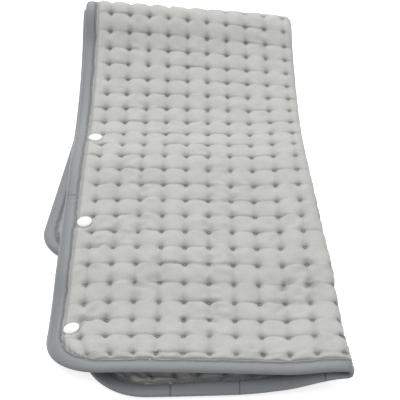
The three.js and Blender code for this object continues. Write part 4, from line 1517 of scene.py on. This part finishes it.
@dataclass
class SnapFasteners:
    """The snaps on both long edges: domed caps on the face, studs or sockets on the back."""

    inset: float = 18.7
    step_rows: int = 6
    stud_row: float = 1.6
    socket_row: float = 2.1
    count: int = 3
    seat: float = 1.9
    cap_radius: float = 6.2
    cap_rim: float = 1.2
    cap_dome: float = 1.5
    dome_points: int = 10
    foot_inset: float = 0.7
    foot_round: tuple[float, float] = (0.15, 0.2)
    foot_height: float = 0.55
    rim_round: float = 0.1
    post_radius: float = 1.1
    post_bevel: tuple[float, float] = (0.2, 0.3)
    ring_radius: float = 5.0
    ring_base: float = 0.8
    ring_bevel: float = 0.3
    hole_bevel: float = 0.15
    stud_knob: float = 2.6
    socket_knob: float = 4.0
    knob_length: float = 1.0
    knob_bevel: tuple[float, float] = (0.35, 0.3)
    neck: tuple[float, float] = (0.12, 0.1)
    neck_foot: float = 0.2
    turns: int = 48
    weld: float = 1e-4

    def places(self, half: Half) -> list[tuple[float, float]]:
        """Finds a half's snaps on the flat pad.

        Args:
            half: The half.

        Returns:
            The places, as (u, v).
        """
        first = self.stud_row if half is Half.UPPER else self.socket_row
        spots = [(self.inset, PAD.row_at(first + i * self.step_rows)) for i in range(self.count)]
        return spots if half is Half.UPPER else [(PAD.width - u, PAD.length - v) for u, v in spots]

    def cap_profile(self) -> list[tuple[float, float]]:
        """Draws the cap's section, from the post's end to the top of the dome.

        Returns:
            Radii and heights.
        """
        end = -(self.seat + self.ring_base + self.knob_length - PAD.clearance)
        seat, rim, post, cap = self.seat, self.seat + self.cap_rim, self.post_radius, self.cap_radius
        turns = np.linspace(0.0, math.pi / 2, self.dome_points)[1:-1]
        dome = [(cap * math.cos(a), rim + self.cap_dome * math.sin(a)) for a in turns]
        return [
            (0.0, end), (post - self.post_bevel[0], end), (post, end + self.post_bevel[1]), (post, seat),
            (cap - self.foot_inset, seat), (cap - self.foot_round[0], seat + self.foot_round[1]),
            (cap, seat + self.foot_height), (cap, rim - self.rim_round), *dome, (0.0, rim + self.cap_dome),
        ]

    def ring_profile(self, knob: float) -> list[tuple[float, float]]:
        """Draws the section of a stud or socket, from its hole round to its hole.

        Args:
            knob: The radius of its knob.

        Returns:
            Radii and heights.
        """
        hole = self.post_radius + PAD.clearance
        base = -self.seat - self.ring_base
        tip = base - self.knob_length
        bevel, ring = self.hole_bevel, self.ring_radius
        return [
            (hole, -self.seat), (hole, tip + bevel), (hole + bevel, tip), (knob - self.knob_bevel[0], tip),
            (knob, tip + self.knob_bevel[1]), (knob - self.neck[0], base - self.neck[1]),
            (knob + self.neck_foot, base), (ring - self.ring_bevel, base), (ring, base + self.ring_bevel),
            (ring, -self.seat), (hole, -self.seat),
        ]

    def spun(self, name: str, profile: Spots, seat: Matrix, finishes: Finishes) -> bpy.types.Object:
        """Spins a section round its axis and sets it on its seat.

        Args:
            name: Name of the piece.
            profile: Radii and heights of the section.
            seat: The frame that it sits in.
            finishes: The materials.

        Returns:
            The piece.
        """
        bm = bmesh.new()
        verts = [bm.verts.new((r, 0.0, z)) for r, z in profile]
        edges = [bm.edges.new(pair) for pair in zip(verts, verts[1:])]
        bmesh.ops.spin(
            bm, geom=verts + edges, cent=(0, 0, 0), axis=(0, 0, 1), angle=2 * math.pi,
            steps=self.turns, use_merge=True, use_duplicate=False,
        )
        bmesh.ops.remove_doubles(bm, verts=bm.verts, dist=self.weld)
        bmesh.ops.recalc_face_normals(bm, faces=bm.faces)
        bmesh.ops.transform(bm, matrix=seat, verts=bm.verts)
        piece = new_piece(name, bm, finishes.snap)
        return piece

    def build(self, half: Half, finishes: Finishes) -> list[bpy.types.Object]:
        """Builds a half's snaps.

        Args:
            half: The half to build.
            finishes: The materials.

        Returns:
            The caps and the studs or sockets, riding on the half.
        """
        kind, knob = ("stud", self.stud_knob) if half is Half.UPPER else ("socket", self.socket_knob)
        made = []
        for number, (u, v) in enumerate(self.places(half), start=1):
            seat = PAD.seat(u, v)
            cap = self.spun(f"{kind}_dome_{number}", self.cap_profile(), seat, finishes)
            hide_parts(f"{kind}_cap_{number}")
            ring = self.spun(f"{kind}_ring_{number}", self.ring_profile(knob), seat, finishes)
            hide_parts(f"snap_{kind}_{number}")
            made += [cap, ring]
        for piece in made:
            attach(piece, f"{half.value}_half")
        return made


class CordInlet:
    """The inlet for the supply cord on the hidden long edge, which keeps its CAD shapes."""

    FINISHES = {
        "inlet_upper_shell": "inlet",
        "inlet_lower_shell": "inlet",
        "inlet_contact_block": "insulator",
        "inlet_contact_1": "brass",
        "inlet_contact_2": "brass",
        "inlet_contact_3": "brass",
        "inlet_screw_1": "steel",
        "inlet_screw_2": "steel",
    }

    def dress(self, finishes: Finishes) -> None:
        """Gives each of the inlet's CAD nodes its material.

        Args:
            finishes: The materials.
        """
        for node, finish in self.FINISHES.items():
            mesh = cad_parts[node].data
            mesh.materials.clear()
            mesh.materials.append(getattr(finishes, finish))


@dataclass
class Studio:
    """The pale floor, the soft light and the camera."""

    camera_mm: Triple = (17.3, -751.3, 541.6)
    pitch_deg: float = 35.628
    yaw_deg: float = 0.072
    roll_deg: float = 0.404
    focal_px: float = 1041.0
    image_px: float = 400.0
    sensor_mm: float = 36.0
    side_light: float = 0.22
    top_light: float = 1.15
    lamp_place: Triple = (-0.25, 1.25, 1.55)
    lamp_size: float = 1.1
    lamp_power: float = 20.0
    floor_size: float = 6.0
    floor_drop: float = 0.0004
    floor_colour: Triple = (0.8, 0.8, 0.8)
    floor_glow: float = 0.7
    white: tuple[float, ...] = (1.0, 1.0, 1.0, 1.0)

    def add_camera(self) -> None:
        """Sets the camera at the photograph's viewing angle."""
        data = bpy.data.cameras.new("photo_camera")
        data.sensor_width = self.sensor_mm
        data.lens = self.focal_px * self.sensor_mm / self.image_px
        camera = bpy.data.objects.new("photo_camera", data)
        camera.location = Vector(self.camera_mm) * MM
        pitch = math.pi / 2 - math.radians(self.pitch_deg)
        camera.rotation_euler = (pitch, math.radians(self.roll_deg), math.radians(self.yaw_deg))
        bpy.context.scene.collection.objects.link(camera)
        bpy.context.scene.camera = camera

    def add_lamp(self) -> None:
        """Adds a soft square lamp that faces the object."""
        data = bpy.data.lights.new("overhead", "AREA")
        data.size = self.lamp_size
        data.energy = self.lamp_power
        lamp = bpy.data.objects.new("overhead", data)
        lamp.location = self.lamp_place
        lamp.rotation_euler = (-Vector(self.lamp_place)).to_track_quat("-Z", "Y").to_euler()
        bpy.context.scene.collection.objects.link(lamp)

    def add_world(self) -> None:
        """Lights the object softly from above, and shows white behind it."""
        world = bpy.data.worlds.new("studio")
        world.use_nodes = True
        tree = world.node_tree
        add = node_adder(tree)
        way = add("ShaderNodeSeparateXYZ", {"Vector": add("ShaderNodeNewGeometry").outputs["Incoming"]})
        steep = add("ShaderNodeMath", {0: way.outputs["Z"]}, operation="ABSOLUTE")
        light = add("ShaderNodeMapRange", {
            "Value": steep.outputs["Value"], "To Min": self.side_light, "To Max": self.top_light,
        })
        level = add("ShaderNodeMapRange", {
            "Value": self.seen_rays(add), "To Min": light.outputs["Result"], "To Max": 1.0,
        })
        shader = tree.nodes["Background"]
        tree.links.new(level.outputs["Result"], shader.inputs["Strength"])
        shader.inputs["Color"].default_value = self.white
        bpy.context.scene.world = world

    @staticmethod
    def seen_rays(add: Adder) -> Socket:
        """Tells the rays that show a thing from those that only light it.

        Args:
            add: The function that adds nodes.

        Returns:
            1 for rays from the camera, mirrors and glass, and 0 for the others.
        """
        rays = add("ShaderNodeLightPath").outputs
        mirrored = calculated(add, "MAXIMUM", rays["Is Glossy Ray"], rays["Is Transmission Ray"])
        return calculated(add, "MAXIMUM", rays["Is Camera Ray"], mirrored)

    def add_floor(self) -> None:
        """Lays a white floor that keeps the object's shadow."""
        material = bpy.data.materials.new("pale_floor")
        material.use_nodes = True
        tree = material.node_tree
        add = node_adder(tree)
        shader = tree.nodes["Principled BSDF"].inputs
        shader["Base Color"].default_value = (*self.floor_colour, 1.0)
        shader["Roughness"].default_value = 1.0
        shader["Specular IOR Level"].default_value = 0.0
        shader["Emission Color"].default_value = self.white
        level = add("ShaderNodeMapRange", {"Value": self.seen_rays(add), "To Max": self.floor_glow})
        tree.links.new(level.outputs["Result"], shader["Emission Strength"])
        bm = bmesh.new()
        bmesh.ops.create_grid(bm, x_segments=1, y_segments=1, size=self.floor_size / 2)
        bmesh.ops.translate(bm, vec=(0.0, 0.0, -self.floor_drop), verts=bm.verts)
        new_piece("floor", bm, material)

    def build(self) -> None:
        """Builds the whole stage."""
        self.add_camera()
        self.add_world()
        self.add_floor()
        self.add_lamp()
        bpy.context.scene.view_settings.view_transform = "Standard"


COVER_NODES = {
    Half.UPPER: ("upper", "upper_bend", "spine"),
    Half.LOWER: ("lower_bend", "lower"),
}
TAPE_NODES = {
    Half.UPPER: (
        "edge_binding_upper", "edge_binding_upper_bend_outer", "edge_binding_upper_bend_inner",
        "edge_binding_spine_outer", "edge_binding_spine_inner",
    ),
    Half.LOWER: (
        "edge_binding_lower", "edge_binding_inlet_side",
        "edge_binding_lower_bend_outer", "edge_binding_lower_bend_inner",
    ),
}


def main() -> None:
    """Builds the pad's pieces in order, and the stage."""
    logging.basicConfig(level=logging.INFO)
    Studio().build()
    finishes = Finishes()
    cloth, binding, tacks, snaps = QuiltedCloth(), EdgeBinding(), TuftTacks(), SnapFasteners()
    seats = [place for half in Half for place in snaps.places(half)]
    for half in Half:
        quilt = cloth.build(half, finishes, seats)
        for part in ("face_cover", "back_cover", "wire_carrier", "heating_wire"):
            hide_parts(*(f"{part}_{zone}" for zone in COVER_NODES[half]))
        if half is Half.UPPER:
            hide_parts("return_lead_upper_bend", "return_lead_spine")
        else:
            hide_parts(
                "return_lead_lower_bend", "return_lead_lower", "return_lead_tail", "thermal_fuse",
            )
        LOG.info("%s: %d faces", quilt.name, len(quilt.data.polygons))
        tape, stitches = binding.build(half, finishes)
        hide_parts(*TAPE_NODES[half])
        LOG.info("%s and %s", tape.name, stitches.name)
        LOG.info("%s", tacks.build(half, cloth, finishes).name)
        for piece in snaps.build(half, finishes):
            LOG.info("%s", piece.name)
    CordInlet().dress(finishes)


if __name__ == "__main__":
    main()
